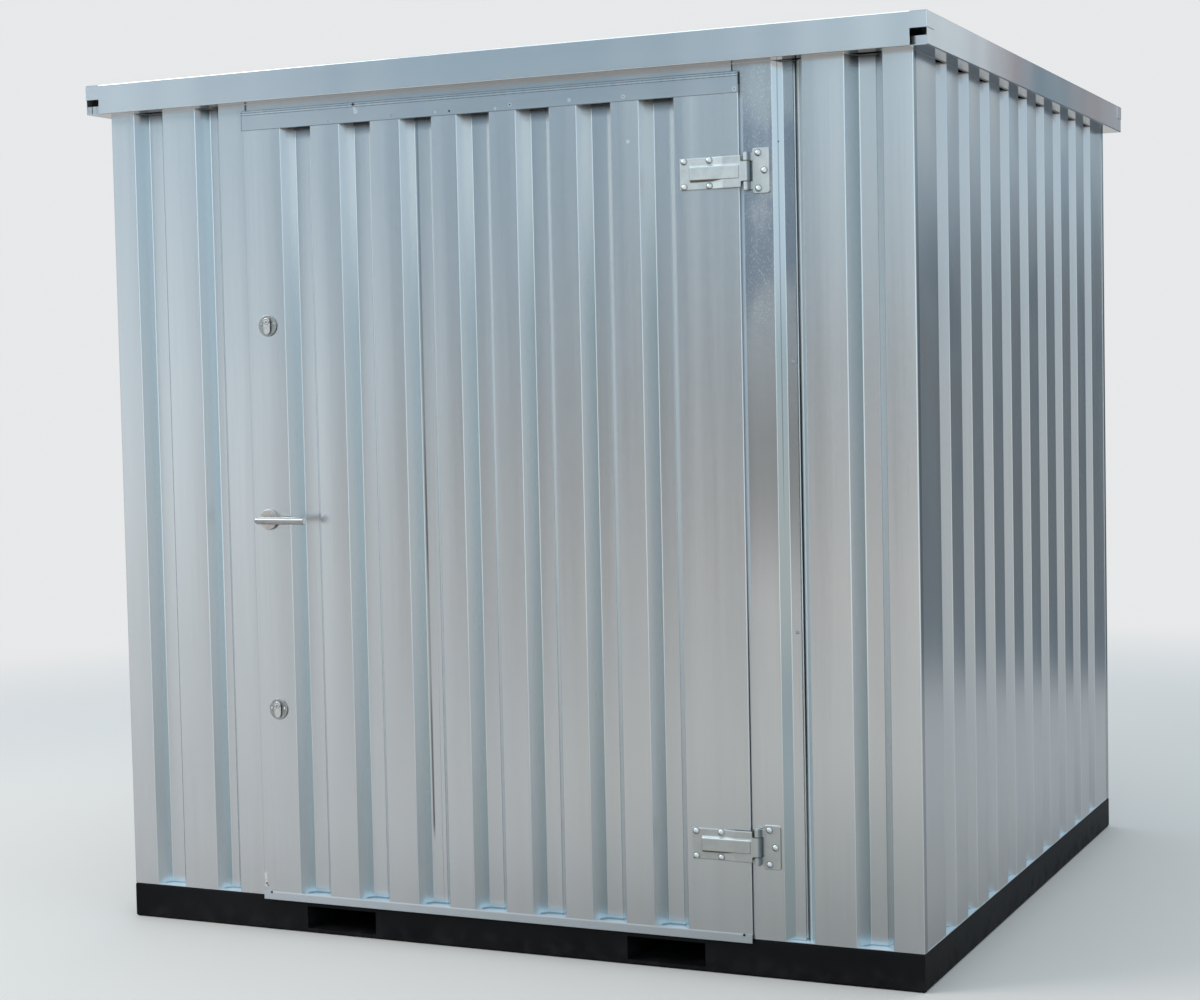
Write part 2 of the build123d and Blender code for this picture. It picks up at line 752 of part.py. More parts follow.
plate_middle = hinge_x + hinge_plate_start + hinge_plate_width / 2
neck_length = hinge_plate_start + hinge_neck
with BuildPart() as plates:
    for height in hinge_heights:
        with BuildSketch(face_plane(front_plane(height))):
            with Locations((plate_middle, 0)):
                RectangleRounded(hinge_plate_width, hinge_plate_height, hinge_plate_corner)
        extrude(amount=hinge_metal)
        chamfer(plates.faces(Select.LAST).sort_by(Axis.Y)[0].edges(), length=hinge_plate_edge)
        for side in (-1, 1):
            low = strap_knuckle_height / 2 + hinge_end_gap
            high = hinge_total_height / 2
            end_plane = front_plane(height + side * (low + high) / 2)
            with BuildSketch(end_plane):
                with Locations((hinge_x, -hinge_axis)):
                    Circle(hinge_knuckle_radius)
                with Locations((hinge_x + neck_length / 2, -hinge_wall_gap - hinge_metal / 2)):
                    Rectangle(neck_length, hinge_metal)
            extrude(amount=(high - low) / 2, both=True)
            with BuildSketch(end_plane):
                with Locations((hinge_x, -hinge_axis)):
                    Circle(bore_radius)
            extrude(amount=(high - low) / 2, both=True, mode=Mode.SUBTRACT)
keep_part(plates, "hinge_plates")

with BuildPart() as pins:
    for height in hinge_heights:
        with BuildSketch(front_plane(height)):
            with Locations((hinge_x, -hinge_axis)):
                Circle(hinge_pin_radius)
        extrude(amount=hinge_total_height / 2 + hinge_head_height, both=True)
        for side in (-1, 1):
            with BuildSketch(front_plane(height + side * (hinge_total_height + hinge_head_height) / 2)):
                with Locations((hinge_x, -hinge_axis)):
                    Circle(hinge_head_radius)
            extrude(amount=hinge_head_height / 2, both=True)
keep_part(pins, "hinge_pins")

# Handle: a round rose and a tube lever with a mitred corner
handle_plane = face_plane(front_plane(handle_height, -leaf_face))
with BuildPart() as rose:
    with BuildSketch(handle_plane):
        with Locations((handle_x, 0)):
            Circle(rose_radius)
    extrude(amount=rose_thickness)
    fillet(rose.edges().filter_by(GeomType.CIRCLE).sort_by(Axis.Y)[0], radius=rose_edge)
    with BuildSketch(handle_plane):
        with Locations((handle_x, 0)):
            Circle(lever_radius + lever_bore_clearance)
    extrude(amount=rose_thickness, mode=Mode.SUBTRACT)
keep_part(rose, "handle_rose")

neck_start = -half_depth - leaf_face - lever_seat_gap
grip_y = -half_depth - leaf_face - lever_proud
with BuildPart() as lever:
    with BuildLine():
        lever_path = Polyline(
            (handle_x, neck_start, handle_height),
            (handle_x, grip_y, handle_height),
            (handle_x + lever_reach, grip_y, handle_height),
        )
    with BuildSketch(Plane(origin=(handle_x, neck_start, handle_height), z_dir=(0, -1, 0))):
        Circle(lever_radius)
    sweep(path=lever_path, transition=Transition.RIGHT)
    fillet(lever.edges().filter_by(GeomType.CIRCLE).sort_by(Axis.X)[-1], radius=lever_edge)
keep_part(lever, "handle_lever")

# Keyhole roses with their pivot pins
key_pivot_reach = key_rose_thickness + key_cover_lift + key_cover_thickness + key_cover_cap + key_cover_gap
with BuildPart() as key_roses:
    for height in key_heights:
        key_plane = face_plane(front_plane(height, -leaf_face))
        with BuildSketch(key_plane):
            with Locations((key_x, 0)):
                Circle(key_rose_radius)
        extrude(amount=key_rose_thickness)
        fillet(key_roses.faces(Select.LAST).sort_by(Axis.Y)[0].edges(), radius=key_rose_edge)
        with BuildSketch(key_plane):
            with Locations((key_x, 0)):
                SlotOverall(key_slot_height, key_slot_width, rotation=90)
        extrude(amount=key_rose_thickness, mode=Mode.SUBTRACT)
        with BuildSketch(key_plane):
            with Locations((key_x, key_cover_pivot_rise)):
                Circle(key_pivot_radius)
        extrude(amount=key_pivot_reach)
        with BuildSketch(face_plane(front_plane(height, -leaf_face - key_pivot_reach))):
            with Locations((key_x, key_cover_pivot_rise)):
                Circle(key_pivot_head_radius)
        extrude(amount=key_pivot_head)
keep_part(key_roses, "key_roses")

# Drop covers: a flap with a raised cap round its pivot and a boss that reaches back to the rose
for name, height in (("lower_key_cover", key_heights[0]), ("upper_key_cover", key_heights[1])):
    cover_plane = face_plane(front_plane(height, -leaf_face - key_rose_thickness - key_cover_lift))
    with BuildPart() as cover:
        with BuildSketch(cover_plane):
            with Locations((key_x, key_cover_pivot_rise)):
                Circle(key_cover_radius)
            with Locations((key_x, key_cover_pivot_rise - key_cover_drop)):
                Circle(key_cover_tip_radius)
            make_hull()
        extrude(amount=key_cover_thickness)
        with BuildSketch(cover_plane):
            with Locations((key_x, key_cover_pivot_rise)):
                Circle(key_cover_radius)
            with Locations((key_x, key_cover_pivot_rise - key_cover_cap_drop - key_cover_radius)):
                Rectangle(2 * key_cover_radius, 2 * key_cover_radius, mode=Mode.SUBTRACT)
        extrude(amount=key_cover_thickness + key_cover_cap)
        fillet(cover.faces().sort_by(Axis.Y)[0].edges(), radius=key_cover_edge)
        with BuildSketch(cover_plane):
            with Locations((key_x, key_cover_pivot_rise)):
                Circle(key_boss_radius)
        extrude(amount=key_cover_gap - key_cover_lift)
        with BuildSketch(cover_plane):
            with Locations((key_x, key_cover_pivot_rise)):
                Circle(key_pivot_radius + key_pivot_clearance)
        extrude(amount=key_pivot_reach, both=True, mode=Mode.SUBTRACT)
    keep_part(cover, name)
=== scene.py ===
import math

import bpy
import numpy as np
from mathutils import Matrix, Vector


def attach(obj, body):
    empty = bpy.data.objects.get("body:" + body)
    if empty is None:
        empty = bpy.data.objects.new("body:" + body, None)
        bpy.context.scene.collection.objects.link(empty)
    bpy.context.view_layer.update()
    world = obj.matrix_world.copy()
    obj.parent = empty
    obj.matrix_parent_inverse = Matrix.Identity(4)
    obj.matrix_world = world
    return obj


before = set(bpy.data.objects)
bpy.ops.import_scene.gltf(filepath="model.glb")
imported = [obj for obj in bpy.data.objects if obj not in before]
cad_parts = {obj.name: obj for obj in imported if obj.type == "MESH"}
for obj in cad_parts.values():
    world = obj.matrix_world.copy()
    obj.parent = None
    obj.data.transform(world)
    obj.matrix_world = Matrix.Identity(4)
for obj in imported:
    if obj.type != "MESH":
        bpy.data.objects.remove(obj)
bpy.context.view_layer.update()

# Corrugated galvanised storage container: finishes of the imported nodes, fixings, marks of use,
# floor, lights and camera. Metres, +Z up, the door in the wall at -Y.
# In the dictionaries a pair (from, to) is a smooth ramp from 0 to 1, along an axis or a facing.


class Wire:
    # One socket of a node tree: an expression on values adds its Math nodes
    def __init__(self, tree, socket=None):
        self.tree = tree
        self.socket = socket

    def make(self, kind, settings=None, values=None, output=0):
        # Any other node: its settings come first, then the values or links of its sockets
        node = self.tree.nodes.new(kind)
        for name, setting in (settings or {}).items():
            if name == "stops":
                ramp = node.color_ramp.elements
                while len(ramp) < len(setting):
                    ramp.new(1.0)
                for stop, (place, colour) in zip(ramp, setting):
                    stop.position = place
                    stop.color = colour
            else:
                setattr(node, name, setting)
        for name, value in (values or {}).items():
            if isinstance(value, Wire):
                self.tree.links.new(value.socket, node.inputs[name])
            else:
                node.inputs[name].default_value = value
        return Wire(self.tree, node.outputs[output])

    def math(self, operation, first, second=0.0):
        return self.make("ShaderNodeMath", {"operation": operation}, {0: first, 1: second})

    def __add__(self, other):
        return self.math("ADD", self, other)

    def __radd__(self, other):
        return self.math("ADD", other, self)

    def __sub__(self, other):
        return self.math("SUBTRACT", self, other)

    def __rsub__(self, other):
        return self.math("SUBTRACT", other, self)

    def __mul__(self, other):
        return self.math("MULTIPLY", self, other)

    def __rmul__(self, other):
        return self.math("MULTIPLY", other, self)

    def __abs__(self):
        return self.math("ABSOLUTE", self)

    def larger(self, other):
        return self.math("MAXIMUM", self, other)

    def cosine(self):
        return self.math("COSINE", self)

    def rise(self, low, high):
        # 0 below the low value, 1 above the high one, smooth between; high below low falls instead
        return self.make(
            "ShaderNodeMapRange", {"interpolation_type": "SMOOTHSTEP"},
            {"Value": self, "From Min": low, "From Max": high},
        )

    def within(self, first, second):
        # Two ramps at once: a band with soft edges
        return self.rise(*first) * self.rise(*second)

    def stripe(self, middle, ramp):
        # Line about a value; ramp: distances at which it ends and is full
        return abs(self - middle).rise(*ramp)

    def scaled(self, x, y, z):
        return self.make("ShaderNodeVectorMath", {"operation": "MULTIPLY"}, {0: self, 1: (x, y, z)})

    def axis(self, index):
        return self.make("ShaderNodeSeparateXYZ", None, {0: self}, index)

    def along(self, *towards):
        return self.make("ShaderNodeVectorMath", {"operation": "DOT_PRODUCT"}, {0: self, 1: towards}, "Value")

    def near(self, point, radius, soft):
        # 1 within a radius of a point, 0 beyond it
        distance = self.make(
            "ShaderNodeVectorMath", {"operation": "DISTANCE"}, {0: self, 1: point}, "Value",
        )
        return distance.rise(radius + soft, radius)

    def noise(self, scale, detail=2.0, roughness=0.5):
        return self.make(
            "ShaderNodeTexNoise", None,
            {"Vector": self, "Scale": scale, "Detail": detail, "Roughness": roughness},
        )

    def cells(self, scale):
        # One grey value for each crystal of zinc
        return self.make("ShaderNodeTexVoronoi", None, {"Vector": self, "Scale": scale}, "Color").axis(0)

    def paint(self, mask, colour):
        # Another colour over this one where the mask is 1
        return self.make("ShaderNodeMix", {"data_type": "RGBA"}, {0: mask, 6: self, 7: colour}, 2)

    def shade(self, stops):
        return self.make("ShaderNodeValToRGB", {"stops": stops}, {0: self})


def startFinish(name, **fixed):
    # A new material with the sockets that are the same all over it, and its place in metres
    finish = bpy.data.materials.new(name)
    finish.use_nodes = True
    shader = finish.node_tree.nodes["Principled BSDF"]
    for socket, value in fixed.items():
        shader.inputs[socket.replace("_", " ")].default_value = value
    return finish, shader, Wire(finish.node_tree).make("ShaderNodeTexCoord", output="Object")


def feed(shader, **wires):
    for socket, wire in wires.items():
        wire.tree.links.new(wire.socket, shader.inputs[socket.replace("_", " ")])


def facingOf(place):
    return place.make("ShaderNodeTexCoord", output="Normal")


def dent(height, strength, distance):
    return height.make(
        "ShaderNodeBump", None, {"Height": height, "Strength": strength, "Distance": distance},
    )


def rgb(red, green, blue):
    return (red, green, blue, 1.0)


# Galvanised sheet

zincLook = {
    "dark": rgb(0.62, 0.635, 0.64),
    "middle": rgb(0.70, 0.71, 0.71),
    "light": rgb(0.78, 0.785, 0.785),
    "white": rgb(1.0, 1.0, 1.0),
    # Painted highlight of folds and edges, also the tone of pale scuffs
    "foldLine": rgb(0.90, 0.95, 0.97),
    "dust": rgb(0.42, 0.40, 0.37),
    "whiteRust": rgb(0.78, 0.81, 0.82),
    "shade": rgb(0.22, 0.25, 0.27),
    # Near black of real joints, holes and rivets, and of painted shade in creases, recesses and under edges
    "seam": rgb(0.05, 0.055, 0.06),
    # Painted reflection, shade and highlight on the slants of the grooves
    "slantPale": rgb(0.69, 0.755, 0.785),
    "slantDark": rgb(0.28, 0.41, 0.43),
    "slantHead": rgb(1.0, 0.98, 0.97),
    # Painted glow of light, at the foot of the grooves and on ledges
    "glow": rgb(0.82, 0.94, 1.0),
    "metallic": 0.92,
    "roughness": 0.245,
    # How the streaks of the coating stretch: up walls, across the ends, along the sides
    "uprightGrain": (24.0, 24.0, 0.5),
    "acrossGrain": (0.6, 20.0, 20.0),
    "acrossSmooth": 0.4,
    "lengthGrain": (20.0, 0.6, 20.0),
    "roofGrain": (16.0, 0.5, 16.0),
    "screwGrain": (24.0, 24.0, 24.0),
    "scratchFiner": 7,
    "cloudScale": 1.3,
    "crystalScale": 120.0,
    "streakStrength": 0.34,
    "scratchStrength": 0.18,
    "cloudStrength": 0.20,
    "crystalStrength": 0.03,
    "streakGloss": 0.05,
    "crystalGloss": 0.01,
    # Spots of white rust: size, share of the sheet, only in some clouds
    "spotScale": 31.0,
    "spots": (0.72, 0.8),
    "spotClouds": (0.5, 0.62),
    "spotStrength": 0.07,
    # Bow of the whole sheet and bulge of its crests, in metres
    "bowGrain": (7.0, 7.0, 0.4),
    "bowDistance": 0.0022,
    "crestBow": 0.0005,
    # Facings: of flats, of folds, of slants
    "flat": (0.9, 0.97),
    "fold": ((0.62, 0.7), (0.985, 0.95)),
    "slant": ((0.66, 0.61), (0.45, 0.55)),
    "foldStrength": 0.9,
    "foldShade": 0.55,
    "foldGloss": 0.1,
    # Slants: how deep below the crests a groove starts and ends, how strong the painted pale reflection
    # and the painted shade are on the left side and how much that changes to the right
    "grooveDepth": (0.002, 0.033),
    "leftToRight": (-0.7, 0.5),
    "paleStrength": (0.9, 0.5),
    "darkStrength": (0.12, 0.14),
    # Painted glow above the foot of a sheet, above that a thin line of painted shade, painted shade below its
    # head
    "glowHeights": (0.026, 0.004),
    "glowStrength": 0.55,
    "footLine": (0.0026, 0.0016),
    "footStrength": 0.5,
    "headShade": (0.034, 0.004),
    "headShadeStrength": 0.7,
    # Painted highlight on the slants near their heads
    "headHeights": (1.5, 1.95),
    "headStrength": 0.45,
    "dustScale": 5.0,
    "dustHeights": (0.3, 0.09),
    "dustStrength": 0.16,
    "underside": (-0.4, -0.8),
    "undersideGloss": 0.12,
}


class Zinc:
    # Finish of galvanised sheet under way: its tone, gloss and dents grow until it is closed
    def __init__(self, name, grain, smooth=1.0):
        # grain: how the streaks of the coating stretch; smooth: below 1 the streaks are fainter
        look = zincLook
        self.finish, self.shader, self.place = startFinish(name, Metallic=look["metallic"])
        place = self.place
        self.normal = facingOf(place)
        streaks = place.scaled(*grain).noise(1.0, 4.0, 0.6)
        scratches = place.scaled(*[value * look["scratchFiner"] for value in grain]).noise(1.0, 2.0)
        clouds = place.noise(look["cloudScale"], 3.0)
        crystals = place.cells(look["crystalScale"])
        tone = (
            0.5
            + (streaks - 0.5) * look["streakStrength"] * smooth
            + (clouds - 0.5) * look["cloudStrength"]
            + (crystals - 0.5) * look["crystalStrength"] * smooth
            + (scratches - 0.5) * look["scratchStrength"] * smooth
        )
        self.colour = tone.shade([(0.22, look["dark"]), (0.5, look["middle"]), (0.8, look["light"])])
        self.rough = (
            look["roughness"] + (streaks - 0.5) * look["streakGloss"]
            + (crystals - 0.5) * look["crystalGloss"]
        )
        spots = place.scaled(1.0, 1.0, 0.45).noise(look["spotScale"], 3.0).rise(*look["spots"])
        spots = spots * clouds.rise(*look["spotClouds"])
        self.paint(spots * look["spotStrength"] * smooth, look["whiteRust"])

    def paint(self, mask, colour):
        self.colour = self.colour.paint(mask, colour)

    def axes(self):
        return [self.place.axis(index) for index in range(3)]

    def flats(self, facing):
        # 1 on the flats that face an axis either way
        return abs(self.normal.axis(facing)).rise(*zincLook["flat"])

    def lessMetal(self, mask):
        # Matt where the mask is 1
        feed(self.shader, Metallic=zincLook["metallic"] - mask)

    def foldLines(self, facing, lit=None):
        # Painted highlights along the folds of a sheet whose flats face one axis; lit: the direction of
        # the bright ones, the ones that look away from it get painted shade
        look = zincLook
        fold = abs(self.normal.axis(facing)).within(*look["fold"])
        bright = fold
        if lit is not None:
            towards = self.normal.along(*lit)
            bright = fold * towards.rise(-0.1, 0.1)
            self.paint(fold * towards.rise(0.1, -0.1) * look["foldShade"], look["shade"])
        self.paint(bright * look["foldStrength"], look["foldLine"])
        self.rough = self.rough - bright * look["foldGloss"]

    def slants(self, facing, face, foot, head, tint):
        # Slants of the grooves get a painted bluish reflection, painted shade towards their bottom and a
        # painted glow at their foot; painted shade closes each groove at the foot of the sheet and lies
        # under its head. face: distance of the crests from the middle; tint: how blue they are painted
        look = zincLook
        z = self.place.axis(2)
        self.slant = abs(self.normal.axis(facing)).within(*look["slant"])
        deep = abs(self.place.axis(facing)).rise(*[face - depth for depth in look["grooveDepth"]])
        right = self.place.axis(0).rise(*look["leftToRight"])
        pale, loss = look["paleStrength"]
        dark, gain = look["darkStrength"]
        self.paint(self.slant * (pale - right * loss) * tint, look["slantPale"])
        self.paint(self.slant * deep * (right * gain + dark) * tint, look["slantDark"])
        glow = deep.rise(0.05, 0.4) * z.rise(*[foot + height for height in look["glowHeights"]])
        self.paint(glow * look["glowStrength"], look["glow"])
        line = deep.rise(0.3, 0.6) * z.rise(*[foot + height for height in look["footLine"]])
        self.paint(line * look["footStrength"], look["seam"])
        shade = deep.rise(0.05, 0.5) * z.rise(*[head - depth for depth in look["headShade"]])
        self.paint(shade * look["headShadeStrength"], look["seam"])

    def slantHeads(self):
        # Slants are painted paler near their heads, a painted highlight
        look = zincLook
        high = self.place.axis(2).rise(*look["headHeights"])
        self.paint(self.slant * high * look["headStrength"], look["slantHead"])

    def splash(self):
        # Thin dust that thrown up water left above the ledge
        look = zincLook
        reach = self.place.axis(2).rise(*look["dustHeights"])
        dust = self.place.noise(look["dustScale"], 3.0).rise(0.2, 0.8)
        self.paint(dust * reach * look["dustStrength"], look["dust"])

    def under(self, strength, tone):
        # Undersides are glossy and get painted shade in another tone
        below = self.normal.axis(2).rise(*zincLook["underside"])
        self.paint(below * strength, tone)
        self.rough = self.rough - below * zincLook["undersideGloss"]

    def crestWave(self, cycles):
        # Height of a sheet whose crests bulge outwards and whose groove bottoms bulge inwards;
        # cycles: whole numbers in the middle of the crests
        return (cycles * (2 * math.pi)).cosine() * zincLook["crestBow"]

    def close(self, marks=(), wave=None):
        # marks: (point, radius, colour); wave: a height in metres besides the bow of the sheet
        for point, radius, markColour in marks:
            self.paint(self.place.near(point, radius, radius * 0.4), markColour)
        height = self.place.scaled(*zincLook["bowGrain"]).noise(1.0, 0.0) * zincLook["bowDistance"]
        if wave is not None:
            height = height + wave
        feed(self.shader, Base_Color=self.colour, Roughness=self.rough, Normal=dent(height, 1.0, 1.0))
        return self.finish


# Folded walls: which axis they face, their face, foot and head, the side from which their folds are
# lit, how blue their slants are painted; the middle of a crest and the distance between crests
wallLook = {
    "end": {
        "facing": 1, "face": 0.9965, "foot": 0.0915, "head": 2.124, "lit": (1.0, 0.0, 0.0), "tint": 1.0,
    },
    "side": {
        "facing": 0, "face": 1.088, "foot": 0.0915, "head": 2.124, "lit": (0.0, -1.0, 0.0), "tint": 0.15,
    },
    "door": {
        "facing": 1, "face": 1.0045, "foot": 0.102, "head": 2.058, "lit": (1.0, 0.0, 0.0), "tint": 1.0,
    },
    "pitch": 0.193,
    "endCrest": 0.8685,
    "sideCrest": -0.6755,
    # The narrow returns round the corners, painted darker as shade, and a painted highlight on their edge
    "returns": (1.0865, 1.0875),
    "returnShade": 0.55,
    "returnEdge": 0.9722,
    "returnLine": (0.0012, 0.0006),
    # Soft warm and cool patches on the right wall above the middle: painted reflections
    "patchFacing": (0.95, 0.99),
    "patchHeights": (0.8, 1.3),
    "patchScale": 1.6,
    "warm": rgb(0.74, 0.60, 0.54),
    "warmRamp": (0.48, 0.74),
    "warmStrength": 0.30,
    "cool": rgb(0.34, 0.43, 0.50),
    "coolRamp": (0.52, 0.26),
    "coolStrength": 0.35,
}


def wallZinc(name, facing, face, foot, head, lit, tint):
    zinc = Zinc(name, zincLook["uprightGrain"])
    zinc.foldLines(facing, lit)
    zinc.slants(facing, face, foot, head, tint)
    zinc.splash()
    return zinc


def endZinc(name):
    # Sheet of the front or rear wall, with its bulge. The narrow returns round the corners are painted
    # darker than the wall beside them as shade, with a painted highlight along their edge
    look = wallLook
    zinc = wallZinc(name, **look["end"])
    x, y, z = zinc.axes()
    outside = abs(x).rise(*look["returns"]) * zinc.flats(0)
    zinc.paint(outside * look["returnShade"], zincLook["shade"])
    zinc.paint(outside * abs(y).stripe(look["returnEdge"], look["returnLine"]), zincLook["foldLine"])
    return zinc, zinc.crestWave((abs(x) - look["endCrest"]) * (1 / look["pitch"]))


frontLook = {
    # Right door post: painted shade above the middle, brownish there, clouded near its head
    "post": ((0.655, 0.657), (0.800, 0.7985)),
    "postShadeHeights": (0.85, 1.2),
    "postShadeStrength": 0.30,
    "brown": rgb(0.16, 0.12, 0.09),
    "brownHeights": (1.5, 1.25),
    "brownStrength": 0.22,
    "cloud": rgb(0.16, 0.22, 0.32),
    "cloudHeights": ((1.45, 1.65), (2.06, 1.95)),
    "cloudGrain": (14.0, 14.0, 5.0),
    "cloudStrength": 0.5,
    "fleckHeights": (1.4, 1.6),
    "fleckScale": 420.0,
    "fleckStrength": 0.4,
    # Joint right of it: a slant with a painted highlight at its top, painted shade lower down and a
    # crease of painted shade, then a shelf, then a gutter in painted shade whose far side is matt and
    # painted pale as light, palest deep down
    "slant": ((0.752, 0.754), (0.7755, 0.7735)),
    "slantTop": rgb(1.0, 1.0, 0.98),
    "slantTopHeights": (1.7, 1.9),
    "slantTopStrength": 0.95,
    "slantLowHeights": (1.75, 1.4),
    "slantLowStrength": 0.5,
    "crease": -0.9875,
    "creaseLine": (0.0012, 0.0005),
    "creaseHeights": (1.0, 1.3),
    "creaseStrength": 0.4,
    "gutter": ((0.7975, 0.799), (0.8035, 0.8025)),
    "gutterDepth": (-0.984, -0.980),
    "gutterHeights": ((0.35, 0.6), (1.7, 1.3)),
    "gutterStrength": (0.3, 0.6),  # everywhere, and more between those heights
    "matt": ((0.802, 0.8035), (0.827, 0.8255)),
    "mattFacing": (-0.4, -0.6),
    "mattTone": rgb(0.50, 0.57, 0.60),
    "mattDeep": (0.8150, 0.8110),
    "mattDeepTone": rgb(0.95, 1.0, 1.0),
    # Painted light: the post beside the leaf's edge is paler and matt above the middle
    "beside": ((0.668, 0.670), (0.684, 0.680)),
    "besideHeights": ((0.7, 1.1), (2.06, 2.04)),
    "besideTone": rgb(0.72, 0.82, 0.90),
    "besideStrength": 0.8,
    "mattness": 0.75,
    # Joints between the header and the posts: place, heights
    "headerJoints": ((0.656, (2.06, 2.07)), (-0.6705, (2.07, 2.08))),
    "headerLine": (0.0022, 0.0014),
    "headerStrength": 0.9,
    "hole": (0.7644, -0.9875, 1.9404),
    "holeRadius": 0.0016,
}


def frontFinish():
    look = frontLook
    zinc, wave = endZinc("front zinc")
    place = zinc.place
    x, y, z = zinc.axes()
    flat = zinc.flats(1)
    seam = zincLook["seam"]
    post = x.within(*look["post"]) * flat
    # Painted shade on the post above the middle, brownish higher up
    postShade = post * z.rise(*look["postShadeHeights"])
    zinc.paint(postShade * look["postShadeStrength"], zincLook["shade"])
    zinc.paint(postShade * z.rise(*look["brownHeights"]) * look["brownStrength"], look["brown"])
    clouds = place.scaled(*look["cloudGrain"]).noise(1.0, 4.0).rise(0.35, 0.6)
    zinc.paint(post * z.within(*look["cloudHeights"]) * clouds * look["cloudStrength"], look["cloud"])
    flecks = place.scaled(1.0, 1.0, 0.6).noise(look["fleckScale"], 2.0).rise(0.58, 0.68)
    zinc.paint(post * flecks * z.rise(*look["fleckHeights"]) * look["fleckStrength"], zincLook["foldLine"])
    # Painted highlight and shade on the joint's slant, painted shade in its crease and gutter, painted light
    # on the matt far side
    slant = x.within(*look["slant"]) * abs(zinc.normal.axis(1)).rise(0.9, 0.8)
    zinc.paint(slant * z.rise(*look["slantTopHeights"]) * look["slantTopStrength"], look["slantTop"])
    zinc.paint(slant * z.rise(*look["slantLowHeights"]) * look["slantLowStrength"], zincLook["slantDark"])
    crease = slant * y.stripe(look["crease"], look["creaseLine"]) * z.rise(*look["creaseHeights"])
    zinc.paint(crease * look["creaseStrength"], seam)
    gutter = x.within(*look["gutter"]) * y.rise(*look["gutterDepth"])
    least, more = look["gutterStrength"]
    zinc.paint(gutter * (z.within(*look["gutterHeights"]) * more + least), seam)
    for middle, heights in look["headerJoints"]:
        joint = x.stripe(middle, look["headerLine"]) * z.rise(*heights)
        zinc.paint(joint * look["headerStrength"], seam)
    matt = x.within(*look["matt"]) * zinc.normal.axis(0).rise(*look["mattFacing"])
    zinc.paint(matt, look["mattTone"])
    zinc.paint(matt * x.rise(*look["mattDeep"]), look["mattDeepTone"])
    # Painted light beside the leaf's edge
    beside = x.within(*look["beside"]) * flat * z.within(*look["besideHeights"])
    zinc.paint(beside * look["besideStrength"], look["besideTone"])
    zinc.lessMetal(matt.larger(beside * 0.9) * look["mattness"])
    return zinc.close([(look["hole"], look["holeRadius"], seam)], wave)


doorLook = {
    # Lap of the two sheets: where it lies, and how wide it gapes by height, as shares of two metres
    "lap": -0.1865,
    "lapLine": (0.0034, 0.0016),
    "gape": (
        (0.13, 0.0), (0.15, 0.8), (0.28, 0.7), (0.34, 0.35), (0.44, 0.35), (0.5, 0.75), (0.58, 0.7),
        (0.66, 0.35), (1.0, 0.35),
    ),
    # Right edge of the leaf: a painted highlight on its side face, matt
    "edge": (0.64, 0.65),
    "edgeStrength": 0.9,
    "edgeMattness": 0.7,
    # Torn burr at its lower left corner
    "burr": (-0.664, -0.6675),
    "burrHeights": ((0.110, 0.116), (0.156, 0.146)),
    "burrScale": 240.0,
    "burrStrength": 0.9,
    # Crests: middle of one and distance to the next, left and right of the lap
    "leftCrest": -0.4325,
    "leftPitch": 0.173,
    "rightCrest": -0.2595,
    "rightPitch": 0.1612,
    "lastCrest": (0.58, 0.52),
    "rust": rgb(0.20, 0.13, 0.10),
    "face": -1.0045,
    # Small marks: x, z, radius, tone
    "marks": (
        (0.139, 2.010, 0.0022, "seam"), (0.176, 2.007, 0.0022, "seam"), (0.396, 1.962, 0.004, "foldLine"),
        (-0.6675, 0.1215, 0.0024, "rust"), (-0.6635, 0.1165, 0.0018, "rust"),
    ),
}


def marksOn(look):
    # Small marks of a flat face, ready for the end of its finish
    return [
        ((x, look["face"], z), radius, look.get(tone, zincLook.get(tone)))
        for x, z, radius, tone in look["marks"]
    ]


def doorFinish():
    look = doorLook
    zinc = wallZinc("door zinc", **wallLook["door"])
    x, y, z = zinc.axes()
    # The lap of the two leaf sheets gapes here and there
    gape = (z * 0.5).shade([(share, rgb(dim, dim, dim)) for share, dim in look["gape"]])
    zinc.paint(x.stripe(look["lap"], look["lapLine"]) * gape, zincLook["seam"])
    # Painted highlight on the leaf's right side face
    edge = zinc.normal.axis(0).rise(*zincLook["flat"]) * x.rise(*look["edge"])
    zinc.paint(edge * look["edgeStrength"], zincLook["foldLine"])
    zinc.lessMetal(edge * look["edgeMattness"])
    ragged = zinc.place.noise(look["burrScale"], 2.0).rise(0.40, 0.55)
    burr = x.rise(*look["burr"]) * z.within(*look["burrHeights"]) * ragged
    zinc.paint(burr * look["burrStrength"], zincLook["white"])
    zinc.slantHeads()
    # Crests that bulge: one pitch left of the middle, a smaller one right of it
    left = (x - look["leftCrest"]) * (1 / look["leftPitch"])
    right = (x - look["rightCrest"]) * (1 / look["rightPitch"]) + 1.0
    return zinc.close(marksOn(look), zinc.crestWave(left.larger(right)) * x.rise(*look["lastCrest"]))


def sideFinish():
    look = wallLook
    zinc = wallZinc("side zinc", **look["side"])
    zinc.slantHeads()
    x, y, z = zinc.axes()
    # Painted warm and cool reflections on the crests
    crest = zinc.normal.axis(0).rise(*look["patchFacing"]) * z.rise(*look["patchHeights"])
    patches = zinc.place.scaled(0.0, 2.0, 2.0).noise(look["patchScale"], 1.0)
    zinc.paint(crest * patches.rise(*look["warmRamp"]) * look["warmStrength"], look["warm"])
    zinc.paint(crest * patches.rise(*look["coolRamp"]) * look["coolStrength"], look["cool"])
    return zinc.close(wave=zinc.crestWave((y - look["sideCrest"]) * (1 / look["pitch"])))


